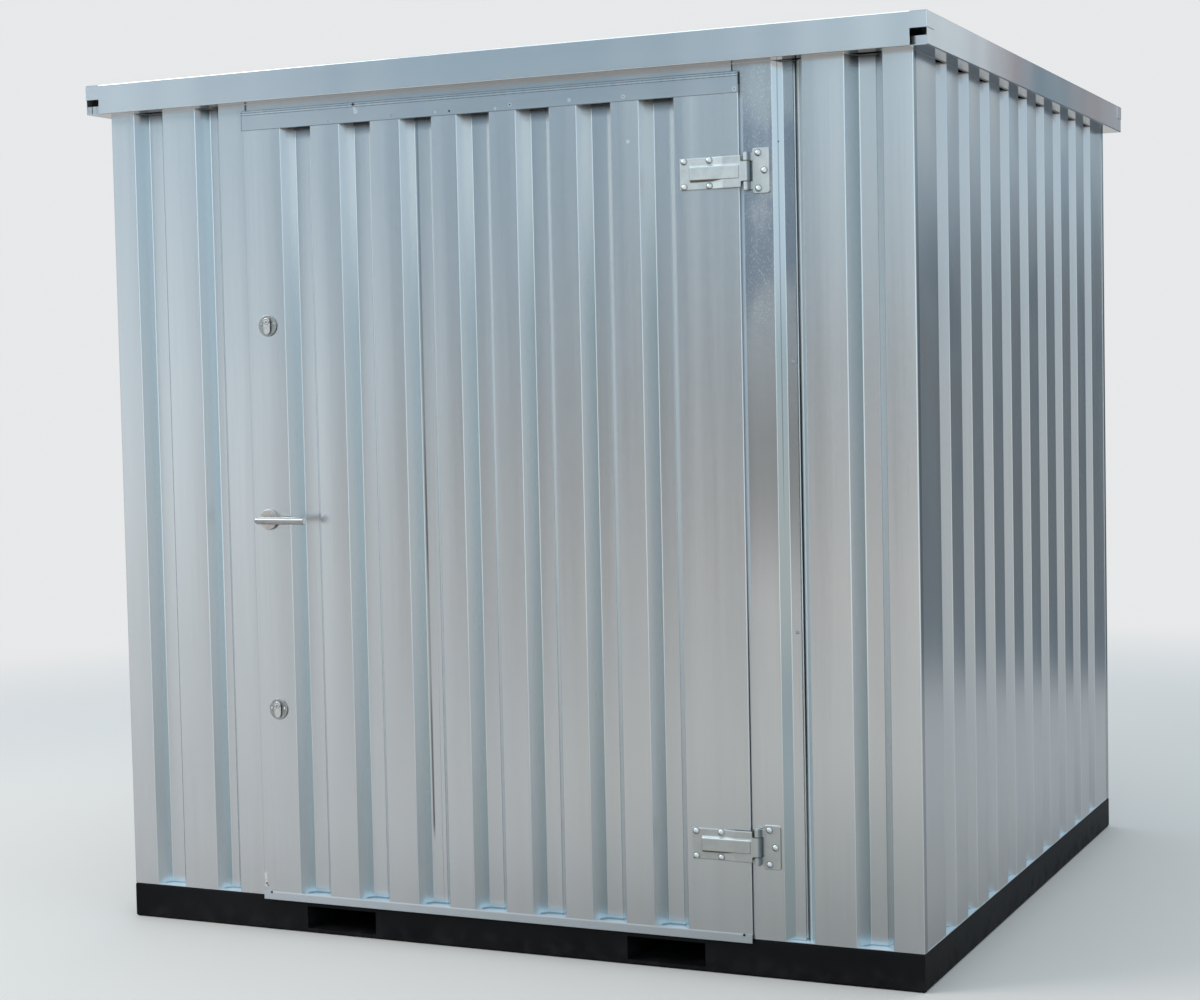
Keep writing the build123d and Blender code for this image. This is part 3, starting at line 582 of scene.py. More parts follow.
stripLook = {
    "left": (-0.678, -0.6755),
    "right": (0.674, 0.6725),
    "foot": (2.056, 2.058),
    # Painted shade along the foot and the ends, and over the face
    "rimStrength": 0.8,
    "faceShade": 0.10,
    # Pressed double line of dashes near the top: painted shade in the dashes, painted highlight between
    "dashHeight": 2.0975,
    "dashApart": 0.0028,
    "dashLine": (0.0014, 0.0007),
    "dashScale": 180.0,
    "dashStrength": (0.2, 0.45),  # between the dashes, and more in them
    "betweenStrength": 0.35,
    "pale": rgb(0.86, 0.87, 0.86),
    "rust": rgb(0.66, 0.57, 0.50),
    "face": -1.0065,
    "marks": (
        (0.6655, 2.0652, 0.0044, "pale"), (0.6655, 2.0652, 0.0022, "rust"),
        (-0.4198, 2.0646, 0.0026, "rust"), (-0.3471, 2.1005, 0.003, "seam"),
        (-0.3405, 2.0826, 0.0052, "pale"), (-0.3425, 2.0895, 0.004, "pale"),
        (-0.2388, 2.0658, 0.0028, "rust"), (-0.1154, 2.0659, 0.0026, "pale"),
        (-0.0766, 2.0656, 0.0022, "seam"), (0.0492, 2.0629, 0.0030, "pale"),
        (0.0885, 2.0694, 0.0044, "pale"), (0.0885, 2.0694, 0.0018, "seam"),
        (0.2467, 2.0691, 0.0042, "pale"), (0.3869, 2.0670, 0.0042, "pale"),
        (0.3869, 2.0670, 0.0018, "rust"),
    ),
}


def stripFinish():
    # Strip with painted shade along its foot and its ends, where it stands proud, and over its face;
    # a pressed line near its top is drawn as two dashed lines of painted shade with a painted
    # highlight between
    look = stripLook
    zinc = Zinc("strip zinc", zincLook["acrossGrain"], zincLook["acrossSmooth"])
    x, y, z = zinc.axes()
    face = zinc.flats(1)
    rim = 1.0 - x.within(look["left"], look["right"]) * z.rise(*look["foot"])
    zinc.paint(rim * face * look["rimStrength"], zincLook["seam"])
    zinc.paint(face * look["faceShade"], zincLook["shade"])
    dashes = zinc.place.scaled(1.0, 0.0, 0.0).noise(look["dashScale"], 1.0).rise(0.46, 0.54)
    lines = abs(z - look["dashHeight"]).stripe(look["dashApart"], look["dashLine"])
    least, more = look["dashStrength"]
    zinc.paint(lines * face * (dashes * more + least), zincLook["seam"])
    between = z.stripe(look["dashHeight"], look["dashLine"])
    zinc.paint(between * face * look["betweenStrength"], zincLook["foldLine"])
    return zinc.close(marksOn(look))


fasciaLook = {
    "smooth": 0.25,
    # Strength of the painted shade on the undersides, and its tone on the sides
    "endUnder": 0.75,
    "sideUnder": 0.5,
    "sideUnderTone": rgb(0.15, 0.26, 0.34),
    # Upper outer corner of the roof edge, and the rivets of a corner tab in from it and down from it
    "corner": (1.1345, 1.0415, 2.2),
    "rivets": ((0.017, 0.021), (0.039, 0.010), (0.039, 0.031)),
    "rivetRadius": 0.0032,
    "rivetEdge": 0.0012,
    # Painted reflection along the sides: bright at the front end, bluish behind the middle, brownish at the
    # back
    "length": (-1.04, 1.04),
    "tones": (
        (0.03, rgb(1.0, 1.0, 1.0)), (0.12, rgb(0.92, 0.90, 0.89)), (0.31, rgb(0.54, 0.42, 0.41)),
        (0.5, rgb(0.20, 0.295, 0.355)), (0.69, rgb(0.30, 0.35, 0.395)), (0.93, rgb(0.57, 0.40, 0.345)),
        (1.0, rgb(0.66, 0.56, 0.53)),
    ),
    "toneStrength": 0.85,
}


def fasciaFinish(name, grain, facing):
    # Smooth channel with painted highlights on its folds; three rivets hold each corner tab on the sides
    look = fasciaLook
    zinc = Zinc(name, grain, look["smooth"])
    zinc.foldLines(facing)
    if facing:
        zinc.under(look["endUnder"], zincLook["shade"])
    else:
        zinc.under(look["sideUnder"], look["sideUnderTone"])
    folded = zinc.place.make("ShaderNodeVectorMath", {"operation": "ABSOLUTE"}, {0: zinc.place})
    right, back, top = look["corner"]
    for inward, down in look["rivets"]:
        rivet = folded.near((right, back - inward, top - down), look["rivetRadius"], look["rivetEdge"])
        zinc.paint(rivet, zincLook["seam"])
    # Painted reflections along the sides
    tones = zinc.place.axis(1).rise(*look["length"]).shade(look["tones"])
    zinc.paint(zinc.flats(0) * look["toneStrength"], tones)
    return zinc.close()


ledgeLook = {
    # Painted glow on faces that look up
    "up": (0.7, 0.9),
    "strength": 0.9,
    "mattness": 0.7,
}
lipLook = {
    "left": -0.652,
    "right": 0.654,
    "fade": 0.002,
    "line": (0.0986, 0.0998),
    "lineStrength": 0.9,
    "tone": rgb(0.64, 0.74, 0.80),
    "toneStrength": 0.5,
    "holeFront": -1.006,
    "holeHeight": 0.0995,
    "holeRadius": 0.0028,
}


def ledgeFinish(name):
    # Ledges that look up between the folds of the sheets get a painted glow of light and are matt
    look = ledgeLook
    zinc = Zinc(name, zincLook["uprightGrain"])
    up = zinc.normal.axis(2).rise(*look["up"])
    zinc.paint(up * look["strength"], zincLook["glow"])
    zinc.lessMetal(up * look["mattness"])
    return zinc


def lipFinish():
    # Lip under the leaf: a thin painted highlight along its upper edge ends at a small hole on each side
    look = lipLook
    zinc = ledgeFinish("lip zinc")
    x, y, z = zinc.axes()
    left, right, fade = look["left"], look["right"], look["fade"]
    face = zinc.normal.axis(1).rise(-0.9, -0.97)
    line = z.rise(*look["line"]) * x.within((left, left + fade), (right, right - fade))
    zinc.paint(face * look["toneStrength"], look["tone"])
    zinc.paint(line * face * look["lineStrength"], zincLook["white"])
    return zinc.close([
        ((end, look["holeFront"], look["holeHeight"]), look["holeRadius"], zincLook["seam"])
        for end in (left, right)
    ])


frontZinc = frontFinish()
rearSheet, rearWave = endZinc("rear zinc")
rearZinc = rearSheet.close(wave=rearWave)
sideZinc = sideFinish()
doorZinc = doorFinish()
plainZinc = Zinc("plain zinc", zincLook["uprightGrain"]).close()
footZinc = ledgeFinish("foot rail zinc").close()
lipZinc = lipFinish()
headerZinc = Zinc("header zinc", zincLook["acrossGrain"], zincLook["acrossSmooth"]).close()
stripZinc = stripFinish()
endRoofZinc = fasciaFinish("end roof edge zinc", zincLook["acrossGrain"], 1)
sideRoofZinc = fasciaFinish("side roof edge zinc", zincLook["lengthGrain"], 0)
roofZinc = Zinc("roof zinc", zincLook["roofGrain"]).close()
print("galvanised sheet")


# Black base frame

paintLook = {
    "black": rgb(0.0045, 0.0045, 0.0056),
    "worn": rgb(0.014, 0.0135, 0.014),
    "dust": rgb(0.035, 0.032, 0.028),
    "dustHeights": (0.075, 0.0),
    "roughness": 0.5,
    "shine": 0.10,
    "cloudScale": 3.0,
    "scuffGrain": (3.0, 3.0, 14.0),
    "scuffStrength": 0.35,
    "splashScale": 22.0,
    "splashStrength": 0.6,
    "peelScale": 160.0,
    "peelStrength": 0.12,
    "peelDepth": 0.0008,
}


def blackFinish(name):
    look = paintLook
    finish, shader, place = startFinish(name, Specular_IOR_Level=look["shine"])
    clouds = place.noise(look["cloudScale"], 4.0)
    scuffs = place.scaled(*look["scuffGrain"]).noise(5.0, 5.0, 0.65).rise(0.6, 0.78)
    splash = place.noise(look["splashScale"], 5.0).rise(0.42, 0.8) * place.axis(2).rise(*look["dustHeights"])
    colour = clouds.shade([(0.3, look["black"]), (0.75, look["worn"])])
    colour = colour.paint(scuffs * look["scuffStrength"], look["worn"])
    colour = colour.paint(splash * look["splashStrength"], look["dust"])
    rough = look["roughness"] + (clouds - 0.5) * 0.2 + scuffs * 0.12 + splash * 0.3
    peel = place.noise(look["peelScale"], 2.0)
    feed(
        shader, Base_Color=colour, Roughness=rough,
        Normal=dent(peel, look["peelStrength"], look["peelDepth"]),
    )
    return finish


blackPaint = blackFinish("black base paint")
print("black base")


# Bright zinc hinges, satin handle, floor boards

hardwareLook = {
    "plated": rgb(0.80, 0.82, 0.79),
    "plateDark": rgb(0.68, 0.70, 0.68),
    "plateLow": rgb(0.44, 0.42, 0.37),
    # Real stains, and painted shade
    "stainAndShade": rgb(0.17, 0.13, 0.09),
    # Painted highlight, also the pale tone of bolts and rivets
    "edge": rgb(0.97, 1.0, 1.0),
    # Painted cool reflection on the knuckles
    "cool": rgb(0.20, 0.27, 0.32),
    "satin": rgb(0.50, 0.49, 0.47),
    "satinDark": rgb(0.30, 0.285, 0.27),
    "rose": rgb(0.73, 0.67, 0.62),
    "roseDark": rgb(0.52, 0.46, 0.41),
    "cover": rgb(0.82, 0.79, 0.74),
    "coverDark": rgb(0.64, 0.61, 0.56),
    "rim": rgb(0.07, 0.07, 0.085),
}
hingeLook = {
    "metallic": 0.6,
    # Heights between which the lower hinge ends and the upper one starts
    "split": (1.0, 1.1),
    "lowHeights": (1.2, 0.6),
    # Where the painted highlights and shade of strap and rib lie, the knuckle with its joints, and the rings
    # of painted shade round the bolts
    "strapRight": (0.682, 0.681),
    "strapTop": (0.0342, 0.0352),
    "strapFoot": (-0.0348, -0.0358),
    "rib": ((0.5515, 0.555), (0.680, 0.678)),
    "ribTop": 0.0162,
    "ribTopLine": (0.0042, 0.0020),
    "ribFoot": -0.0170,
    "ribFootLine": (0.0040, 0.0020),
    "ribFootFade": (0.640, 0.585),
    "knuckle": ((0.6835, 0.6845), (0.7015, 0.7005)),
    "knuckleJoint": 0.0235,
    "knuckleLine": (0.0022, 0.0012),
    "boltRing": (0.0080, 0.0012),  # radius and soft edge
    "roughness": 0.34,
    "cloudScale": 34.0,
    "stainScale": 70.0,
    "dentScale": 90.0,
    "dentStrength": 0.05,
    "dentDepth": 0.0006,
}
# Bolts of the hinges: four on a strap, three on a plate
hingeBolts = {
    "radius": 0.007,
    "height": 0.0046,
    "hingeHeights": (0.310, 1.876),
    "strapX": (0.5385, 0.6015),
    "strapRise": 0.0295,
    "strapFront": -1.0085,
    "plateX": 0.719,
    "plateMiddleX": 0.7335,
    "plateRise": 0.0405,
    "plateFront": -1.0005,
}


def platedFinish(name):
    look, tones, bolts = hingeLook, hardwareLook, hingeBolts
    finish, shader, place = startFinish(name, Metallic=look["metallic"])
    clouds = place.noise(look["cloudScale"], 4.0)
    stains = place.noise(look["stainScale"], 4.0).rise(0.58, 0.78)
    normal = facingOf(place)
    x, z = place.axis(0), place.axis(2)
    # Height above the middle of the hinge, for both hinges
    low, high = bolts["hingeHeights"]
    level = z - z.rise(*look["split"]) * (high - low) - low
    strap = x.rise(*look["strapRight"]) * normal.axis(1).rise(-0.9, -0.96)
    rib = x.within(*look["rib"])
    knuckle = x.within(*look["knuckle"])
    # Rings of painted shade round the bolts: four on a strap, folded onto one, and three on a plate
    strapMiddle = sum(bolts["strapX"]) / 2
    folded = place.make("ShaderNodeCombineXYZ", None, {0: abs(x - strapMiddle), 2: abs(level)})
    halved = place.make("ShaderNodeCombineXYZ", None, {0: x, 2: abs(level)})
    ring = look["boltRing"]
    rings = folded.near((bolts["strapX"][1] - strapMiddle, 0.0, bolts["strapRise"]), *ring).larger(
        halved.near((bolts["plateX"], 0.0, bolts["plateRise"]), *ring).larger(
            halved.near((bolts["plateMiddleX"], 0.0, 0.0), *ring)
        )
    )
    ribTop = level.stripe(look["ribTop"], look["ribTopLine"])
    ribFoot = level.stripe(look["ribFoot"], look["ribFootLine"]) * x.rise(*look["ribFootFade"])
    joints = abs(level).stripe(look["knuckleJoint"], look["knuckleLine"])
    colour = clouds.shade([(0.3, tones["plateDark"]), (0.62, tones["plated"])])
    # Lower hinge darker, real stains; painted shade on the sides, undersides, strap foot, rib foot and round
    # the bolts; painted highlights on upward faces and the top edges of strap and rib; painted cool
    # reflection on the knuckle's right side; dark knuckle joints
    for mask, strength, tone in (
        (z.rise(*look["lowHeights"]), 0.6, "plateLow"),
        (stains, 0.15, "stainAndShade"),
        (abs(normal.axis(0)).rise(0.35, 0.8), 0.45, "stainAndShade"),
        (normal.axis(2).rise(-0.12, -0.6), 0.85, "stainAndShade"),
        (normal.axis(2).rise(0.2, 0.7), 0.8, "edge"),
        (strap * level.rise(*look["strapTop"]), 0.9, "edge"),
        (strap * level.rise(*look["strapFoot"]), 0.7, "stainAndShade"),
        (rib * ribTop, 0.7, "edge"),
        (rib * ribFoot, 0.65, "stainAndShade"),
        (knuckle * normal.axis(0).rise(0.1, 0.7), 0.7, "cool"),
        (knuckle * joints, 0.7, "stainAndShade"),
        (rings, 0.6, "stainAndShade"),
    ):
        colour = colour.paint(mask * strength, tones[tone])
    rough = look["roughness"] + (clouds - 0.5) * 0.1 + stains * 0.1
    dents = dent(place.noise(look["dentScale"], 2.0), look["dentStrength"], look["dentDepth"])
    feed(shader, Base_Color=colour, Roughness=rough, Normal=dents)
    return finish


leverLook = {
    "metallic": 0.9,
    "roughness": 0.33,
    "brushGrain": (18.0, 900.0, 900.0),
    "cloudScale": 45.0,
    # Its free end is matt and painted pale as a highlight, as its mirror image in the sheet shows
    "end": (0.7, 0.9),
    "endStrength": 0.7,
    "endMattness": 0.8,
    "brushStrength": 0.08,
    "brushDepth": 0.0004,
}


def leverFinish(name):
    look, tones = leverLook, hardwareLook
    finish, shader, place = startFinish(name)
    brushed = place.scaled(*look["brushGrain"]).noise(1.0, 3.0, 0.6)
    clouds = place.noise(look["cloudScale"], 3.0)
    colour = (brushed * 0.5 + clouds * 0.5).shade([(0.3, tones["satinDark"]), (0.62, tones["satin"])])
    rough = look["roughness"] + (brushed - 0.5) * 0.08 + clouds.rise(0.5, 0.8) * 0.12
    end = facingOf(place).axis(0).rise(*look["end"])
    feed(
        shader, Base_Color=colour.paint(end * look["endStrength"], tones["edge"]), Roughness=rough,
        Metallic=look["metallic"] - end * look["endMattness"],
        Normal=dent(brushed, look["brushStrength"], look["brushDepth"]),
    )
    return finish


boardLook = {
    "dark": rgb(0.20, 0.115, 0.055),
    "middle": rgb(0.33, 0.20, 0.105),
    "light": rgb(0.45, 0.30, 0.17),
    "wear": rgb(0.30, 0.25, 0.20),
    "roughness": 0.48,
    "grain": (26.0, 1.1, 26.0),
    "veins": {"Scale": 4.0, "Distortion": 9.0, "Detail": 3.0},
    "wearScale": 2.4,
    "wearStrength": 0.3,
    "grainStrength": 0.18,
    "grainDepth": 0.0012,
}


def boardFinish(name):
    look = boardLook
    finish, shader, place = startFinish(name)
    grain = place.scaled(*look["grain"]).noise(1.0, 6.0, 0.62)
    veins = place.make(
        "ShaderNodeTexWave", {"bands_direction": "X"},
        {"Vector": place.scaled(1.0, 0.08, 1.0), **look["veins"]}, "Fac",
    )
    wear = place.noise(look["wearScale"], 4.0).rise(0.45, 0.8)
    tone = grain * 0.7 + veins * 0.3
    colour = tone.shade([(0.25, look["dark"]), (0.5, look["middle"]), (0.8, look["light"])])
    colour = colour.paint(wear * look["wearStrength"], look["wear"])
    rough = look["roughness"] + (grain - 0.5) * 0.25 + wear * 0.15
    feed(
        shader, Base_Color=colour, Roughness=rough,
        Normal=dent(grain, look["grainStrength"], look["grainDepth"]),
    )
    return finish


turnedLook = {
    "metallic": 0.8,
    "roughness": 0.31,
    "cloudScale": 160.0,
    "shadeTurn": (0.15, 0.5),
    "shadeStrength": 0.85,
    "lightTurn": (-0.2, -0.6),
    "lightStrength": 0.6,
    "dentStrength": 0.06,
    "dentDepth": 0.0004,
}
keyCaps = {
    "x": -0.615,
    "front": -1.0135,
    "heights": (0.588, 1.570),
    # A dark ring, a bright rivet and its dark dot, from the outside inwards
    "rings": ((0.0068, "rim"), (0.0056, "edge"), (0.0014, "rim")),
    "edge": 0.0006,
}


def turnedFinish(name, tones, caps=(), dark=(0.55, 0.0, -0.83)):
    # Turned or pressed satin part: its rim falls into shade towards the direction dark and is bright
    # on the other side; caps: centres of small bright rivets
    look = turnedLook
    finish, shader, place = startFinish(name, Metallic=look["metallic"])
    clouds = place.noise(look["cloudScale"], 3.0)
    first, second = (hardwareLook[tone] for tone in tones)
    colour = clouds.shade([(0.3, first), (0.65, second)])
    turn = facingOf(place).along(*dark)
    colour = colour.paint(turn.rise(*look["shadeTurn"]) * look["shadeStrength"], hardwareLook["rim"])
    colour = colour.paint(turn.rise(*look["lightTurn"]) * look["lightStrength"], hardwareLook["edge"])
    for cap in caps:
        for radius, tone in keyCaps["rings"]:
            colour = colour.paint(place.near(cap, radius, keyCaps["edge"]), hardwareLook[tone])
    feed(
        shader, Base_Color=colour, Roughness=look["roughness"] + clouds * 0.06,
        Normal=dent(clouds, look["dentStrength"], look["dentDepth"]),
    )
    return finish


hingeZinc = platedFinish("hinge zinc")
leverSatin = leverFinish("lever satin")
roseSatin = turnedFinish("rose satin", ("roseDark", "rose"))
keyRoseSatin = turnedFinish("key rose satin", ("satinDark", "satin"))
boltZinc = turnedFinish("bolt zinc", ("plated", "edge"), dark=(-0.5, 0.0, -0.86))
coverSatin = turnedFinish(
    "cover satin", ("coverDark", "cover"),
    [(keyCaps["x"], keyCaps["front"], height) for height in keyCaps["heights"]],
)
screwSheet = Zinc("joint screw zinc", zincLook["screwGrain"])
screwSheet.paint(0.6, zincLook["shade"])
screwZinc = screwSheet.close()
floorBoard = boardFinish("floor board")

# The first line whose beginnings fit a node gives its finish
finishes = (
    (("base_", "fork_", "floor_joists"), blackPaint),
    (("floor_board",), floorBoard),
    (("left_wall", "right_wall"), sideZinc),
    (("rear_",), rearZinc),
    (("front_", "left_door", "right_door"), frontZinc),
    (("door_sheet",), doorZinc),
    (("door_top_strip",), stripZinc),
    (("foot_rails",), footZinc),
    (("door_bottom_channel",), lipZinc),
    (("door_header",), headerZinc),
    (("roof_fascia_front", "roof_fascia_rear"), endRoofZinc),
    (("roof_fascia",), sideRoofZinc),
    (("roof_",), roofZinc),
    (("hinge_",), hingeZinc),
    (("handle_lever",), leverSatin),
    (("handle_rose",), roseSatin),
    (("key_roses",), keyRoseSatin),
    (("upper_key", "lower_key"), coverSatin),
    (("",), plainZinc),
)
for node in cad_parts:
    finish = next(finish for starts, finish in finishes if node.startswith(starts))
    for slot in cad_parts[node].material_slots:
        slot.material = finish
print("finishes on", len(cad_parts), "nodes")


# Fixings: heads turned from a profile

# Two in each keyhole rose, and two in the right corner joint
keyScrews = {
    "radius": 0.0032,
    "height": 0.0016,
    "roses": (0.578, 1.560),
    "middleX": -0.615,
    "apart": 0.019,
    "rise": 0.0025,
    "front": -1.0075,
}
jointScrews = {
    "radius": 0.0045,
    "height": 0.0016,
    "places": ((0.7885, -0.9785, 1.436), (0.7885, -0.9785, 0.813)),
}
headLook = {
    "sides": 20,
    "rings": 7,
    "skirt": 0.25,  # share of the height that is upright
    "crownEnd": 0.94,  # share of the quarter turn up to the tip
}


def domeProfile(radius, height):
    # A short upright skirt, then a quarter of an ellipse up to the top
    skirt = headLook["skirt"]
    turn = np.linspace(0.0, headLook["crownEnd"] * math.pi / 2, headLook["rings"])
    crown = zip(radius * np.cos(turn), height * (skirt + (1 - skirt) * np.sin(turn)))
    return [(radius, 0.0)] + list(crown)


def turnedHeads(name, centres, size, finish, body):
    # Surface of turning: profile (radius, distance out of the wall) goes once round an axis along
    # -Y; the grid is profile step by angle, a fan closes it at the tip, and one copy stands on each
    # centre
    sides = headLook["sides"]
    centres = np.array(centres)
    radius, out = np.array(domeProfile(size["radius"], size["height"])).T
    angle = np.linspace(0.0, 2 * math.pi, sides, endpoint=False)
    rings = np.stack([
        radius[:, None] * np.cos(angle), np.repeat(-out[:, None], sides, 1), radius[:, None] * np.sin(angle),
    ], axis=-1).reshape(-1, 3)
    head = np.vstack([rings, [[0.0, -out[-1], 0.0]]])
    row, column = np.meshgrid(np.arange(len(radius) - 1), np.arange(sides), indexing="ij")
    after = (column + 1) % sides
    quads = np.stack([
        row * sides + column, row * sides + after, (row + 1) * sides + after, (row + 1) * sides + column,
    ], axis=-1).reshape(-1, 4)
    lastRing = (len(radius) - 1) * sides + np.arange(sides + 1) % sides
    fan = np.stack([lastRing[:-1], lastRing[1:], np.full(sides, len(head) - 1)], axis=-1)
    points = (head[None] + centres[:, None]).reshape(-1, 3)
    shift = np.arange(len(centres))[:, None, None] * len(head)
    faces = (quads[None] + shift).reshape(-1, 4).tolist() + (fan[None] + shift).reshape(-1, 3).tolist()
    mesh = bpy.data.meshes.new(name)
    mesh.from_pydata(points.tolist(), [], faces)
    mesh.update()
    mesh.polygons.foreach_set("use_smooth", np.full(len(mesh.polygons), True))
    mesh.materials.append(finish)
    piece = bpy.data.objects.new(name, mesh)
    bpy.context.collection.objects.link(piece)
    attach(piece, body)


bolts = hingeBolts
strapCentres = [
    (x, bolts["strapFront"], height + side * bolts["strapRise"])
    for height in bolts["hingeHeights"] for x in bolts["strapX"] for side in (-1, 1)
]
plateCentres = [
    (bolts["plateX"], bolts["plateFront"], height + side * bolts["plateRise"])
    for height in bolts["hingeHeights"] for side in (-1, 1)
] + [(bolts["plateMiddleX"], bolts["plateFront"], height) for height in bolts["hingeHeights"]]
roseCentres = [
    (keyScrews["middleX"] + side * keyScrews["apart"], keyScrews["front"], height + keyScrews["rise"])
    for height in keyScrews["roses"] for side in (-1, 1)
]
turnedHeads("strap_bolts", strapCentres, bolts, boltZinc, "door")
turnedHeads("plate_bolts", plateCentres, bolts, boltZinc, "shell")
turnedHeads("rose_screws", roseCentres, keyScrews, hingeZinc, "door")
turnedHeads("joint_screws", jointScrews["places"], jointScrews, screwZinc, "shell")
print("bolts and screws")


# Floor, light and camera

studio = {
    "floorRadius": 7.0,
    "floorSides": 96,
    "pale": rgb(0.80, 0.81, 0.82),
    "floorColour": rgb(0.90, 0.80, 0.72),
    # What the sheet mirrors of the floor: its tone, then (middle, radius, soft edge, tone) over it:
    # two painted pools of warm light in front and a painted shadow beside the container
    "floorToSheet": rgb(0.65, 0.565, 0.52),
    "floorPatches": (
        ((0.6, -4.2, 0.0), 0.8, 2.0, rgb(0.70, 0.58, 0.475)),
        ((0.9, -4.4, 0.0), 1.0, 0.9, rgb(0.88, 0.73, 0.61)),
        ((1.1, -1.9, 0.0), 0.5, 1.6, rgb(0.44, 0.385, 0.34)),
    ),
    # Painted shade on the far floor behind, not seen by the camera
    "farShade": rgb(0.10, 0.12, 0.14),
    "farFrom": (3.5, 5.0),
    "fade": (3.3, 6.8),
    # Light all round: sky, horizon and ground, and the heights at which they meet
    "sky": rgb(0.445, 0.60, 0.725),
    "level": rgb(0.565, 0.61, 0.635),
    "low": rgb(0.60, 0.59, 0.57),
    "lowToLevel": (-0.06, 0.02),
    "levelToSky": (-0.02, 0.10),
    "patches": {
        # Degrees from -Y towards -X, degrees up, half width, half height, soft edge; colour
        "front light": (-16.0, 8.0, 14.0, 12.0, 12.0, rgb(0.90, 1.02, 1.10)),
        "left light": (46.0, 0.0, 12.0, 3.0, 5.0, rgb(0.94, 1.04, 1.12)),
        "middle shade": (22.4, -0.1, 6.0, 3.8, 3.5, rgb(0.17, 0.143, 0.12)),
        "upper shade": (27.0, 9.5, 4.5, 6.0, 4.0, rgb(0.19, 0.33, 0.45)),
        "upper right": (8.0, 9.0, 8.5, 4.5, 3.5, rgb(0.90, 1.08, 1.20)),
        "right shade": (-50.0, -2.0, 4.0, 3.0, 5.0, rgb(0.56, 0.58, 0.60)),
        "rear shade": (-165.0, -8.0, 14.0, 10.5, 4.0, rgb(0.115, 0.14, 0.165)),
        "rear sky": (-165.0, 14.0, 20.0, 6.0, 3.5, rgb(0.28, 0.32, 0.355)),
        "rear light": (-165.0, 34.0, 25.0, 10.0, 6.0, rgb(0.80, 0.90, 0.98)),
        "rear corner light": (-161.0, 12.0, 1.5, 4.0, 3.0, rgb(1.0, 1.08, 1.12)),
        "low right": (14.0, -6.5, 5.0, 1.5, 3.0, rgb(0.86, 0.78, 0.73)),
    },
    "lamps": (
        # name, place, aimed at, size, power
        ("key", (-5.5, -5.0, 6.0), (0.0, 0.0, 1.1), 4.0, 200.0),
        ("top", (0.0, -0.5, 6.5), (0.0, 0.0, 0.0), 5.0, 110.0),
    ),
}
camera = {
    "place": (2.5109, -5.8018, 1.4023),
    # Degrees: to the left of +Y, below the horizon, about the line of sight
    "turn": 24.695,
    "down": 3.070,
    "roll": 1.196,
    "focalPixels": 2217.97,
    "imageWidth": 1200,
    "sensorWidth": 36.0,
    "reach": 100.0,
}


def paleFloor(look):
    # Level disc that fades into the background at its rim, for the camera only
    angle = np.linspace(0.0, 2 * math.pi, look["floorSides"], endpoint=False)
    rim = look["floorRadius"] * np.stack([np.cos(angle), np.sin(angle), 0 * angle], axis=-1)
    mesh = bpy.data.meshes.new("studio_floor")
    mesh.from_pydata(rim.tolist(), [], [list(range(len(rim)))])
    floor = bpy.data.objects.new("studio_floor", mesh)
    bpy.context.collection.objects.link(floor)
    finish, shader, place = startFinish("pale floor")
    grain = place.noise(3.0, 3.0)
    seen = place.make("ShaderNodeLightPath", output="Is Camera Ray")
    (middle, radius, soft, colour), *others = look["floorPatches"]
    tone = place.near(middle, radius, soft).shade([(0.0, look["floorToSheet"]), (1.0, colour)])
    for middle, radius, soft, colour in others:
        tone = tone.paint(place.near(middle, radius, soft), colour)
    tone = tone.paint(place.axis(1).rise(*look["farFrom"]), look["farShade"])
    feed(
        shader, Base_Color=tone.paint(seen, look["floorColour"]), Roughness=0.75 + (grain - 0.5) * 0.1,
    )
    far = place.make("ShaderNodeVectorMath", {"operation": "LENGTH"}, {0: place}, "Value")
    glow = place.make("ShaderNodeEmission", None, {"Color": look["pale"], "Strength": 1.0})
    blend = place.make(
        "ShaderNodeMixShader", None,
        {0: seen * far.rise(*look["fade"]), 1: Wire(place.tree, shader.outputs[0]), 2: glow},
    )
    place.tree.links.new(blend.socket, finish.node_tree.nodes["Material Output"].inputs["Surface"])
    mesh.materials.append(finish)


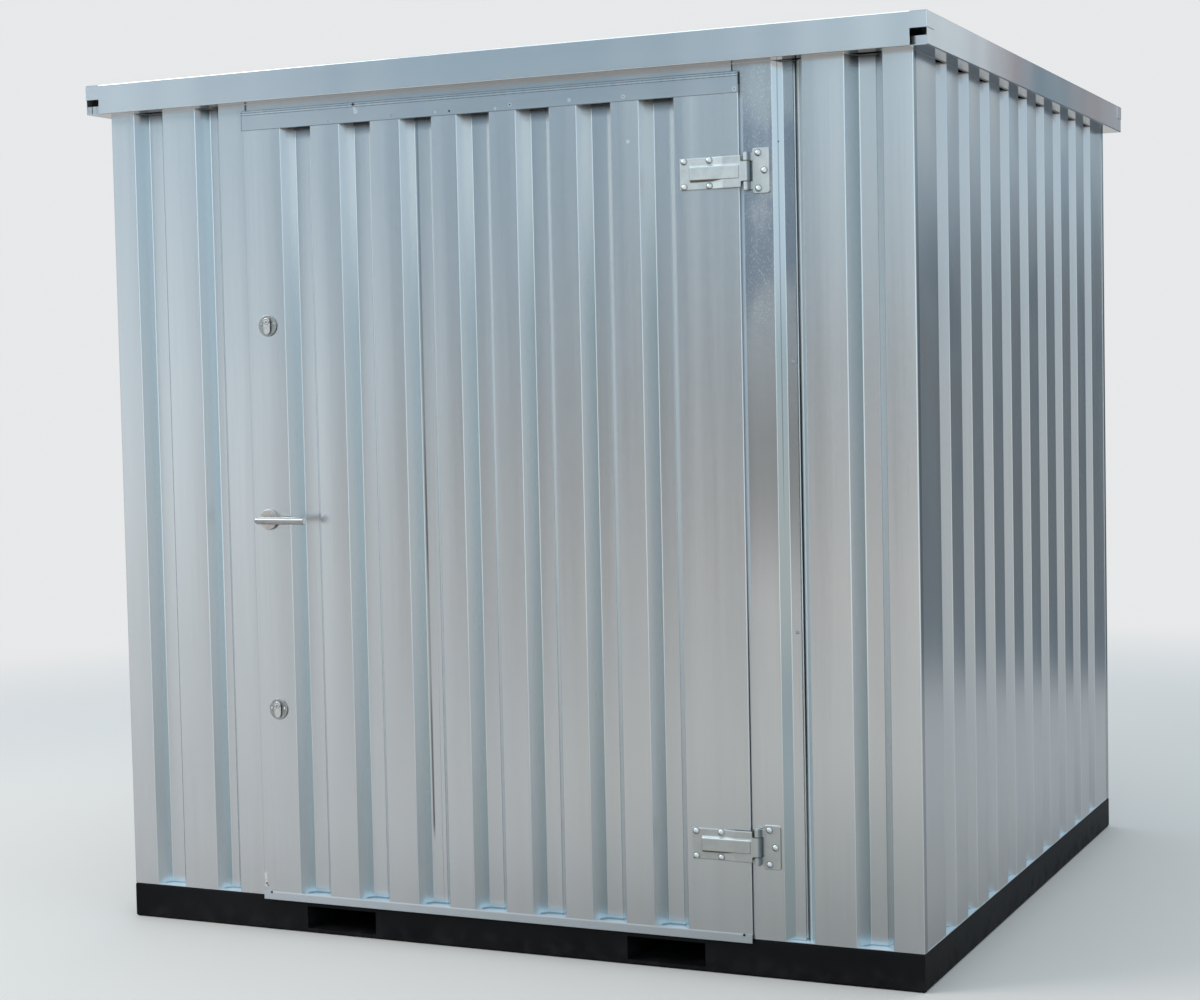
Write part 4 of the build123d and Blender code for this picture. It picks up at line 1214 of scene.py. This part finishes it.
def paleWorld(look):
    # Soft light all round, with broad lighter and darker patches that the sheet mirrors
    world = bpy.data.worlds.new("studio")
    bpy.context.scene.world = world
    world.use_nodes = True
    start = Wire(world.node_tree)
    seen = start.make("ShaderNodeLightPath", output="Is Camera Ray")
    towards = start.make("ShaderNodeTexCoord", output="Generated")
    level = towards.axis(2)
    glow = level.rise(*look["lowToLevel"]).shade([(0.0, look["low"]), (1.0, look["level"])])
    glow = glow.paint(level.rise(*look["levelToSky"]), look["sky"])
    for *degrees, colour in look["patches"].values():
        turn, up, width, height, soft = (math.radians(value) for value in degrees)
        ahead = towards.along(-math.sin(turn), -math.cos(turn), 0.0).rise(0.0, 0.2)
        aside = abs(towards.along(math.cos(turn), -math.sin(turn), 0.0))
        sideways = aside.rise(math.sin(width + soft), math.sin(width))
        upright = level.stripe(math.sin(up), (math.sin(height + soft), math.sin(height)))
        glow = glow.paint(sideways * upright * ahead, colour)
    light = start.make("ShaderNodeBackground", None, {"Color": glow, "Strength": 1.0})
    shown = start.make("ShaderNodeBackground", None, {"Color": look["pale"], "Strength": 1.0})
    blend = start.make("ShaderNodeMixShader", None, {0: seen, 1: light, 2: shown})
    world.node_tree.links.new(blend.socket, world.node_tree.nodes["World Output"].inputs["Surface"])


def areaLamp(name, place, aim, size, power):
    lamp = bpy.data.lights.new(name, "AREA")
    lamp.shape = "DISK"
    lamp.size = size
    lamp.energy = power
    holder = bpy.data.objects.new(name, lamp)
    holder.location = place
    holder.rotation_euler = (Vector(aim) - Vector(place)).to_track_quat("-Z", "Y").to_euler()
    bpy.context.collection.objects.link(holder)


def photoCamera(view):
    turn, down, roll = (math.radians(view[name]) for name in ("turn", "down", "roll"))
    ahead = Vector((-math.sin(turn) * math.cos(down), math.cos(turn) * math.cos(down), -math.sin(down)))
    right = Vector((math.cos(turn), math.sin(turn), 0.0))
    below = ahead.cross(right)
    rolledRight = right * math.cos(roll) + below * math.sin(roll)
    rolledBelow = below * math.cos(roll) - right * math.sin(roll)
    lens = bpy.data.cameras.new("photo_camera")
    lens.sensor_fit = "HORIZONTAL"
    lens.sensor_width = view["sensorWidth"]
    lens.lens = lens.sensor_width * view["focalPixels"] / view["imageWidth"]
    lens.clip_end = view["reach"]
    holder = bpy.data.objects.new("photo_camera", lens)
    axes = Matrix((rolledRight, -rolledBelow, -ahead)).transposed()
    holder.matrix_world = Matrix.Translation(view["place"]) @ axes.to_4x4()
    bpy.context.collection.objects.link(holder)
    bpy.context.scene.camera = holder


paleFloor(studio)
paleWorld(studio)
for lamp in studio["lamps"]:
    areaLamp(*lamp)
photoCamera(camera)
bpy.context.scene.view_settings.view_transform = "Standard"
print("floor, light and camera")
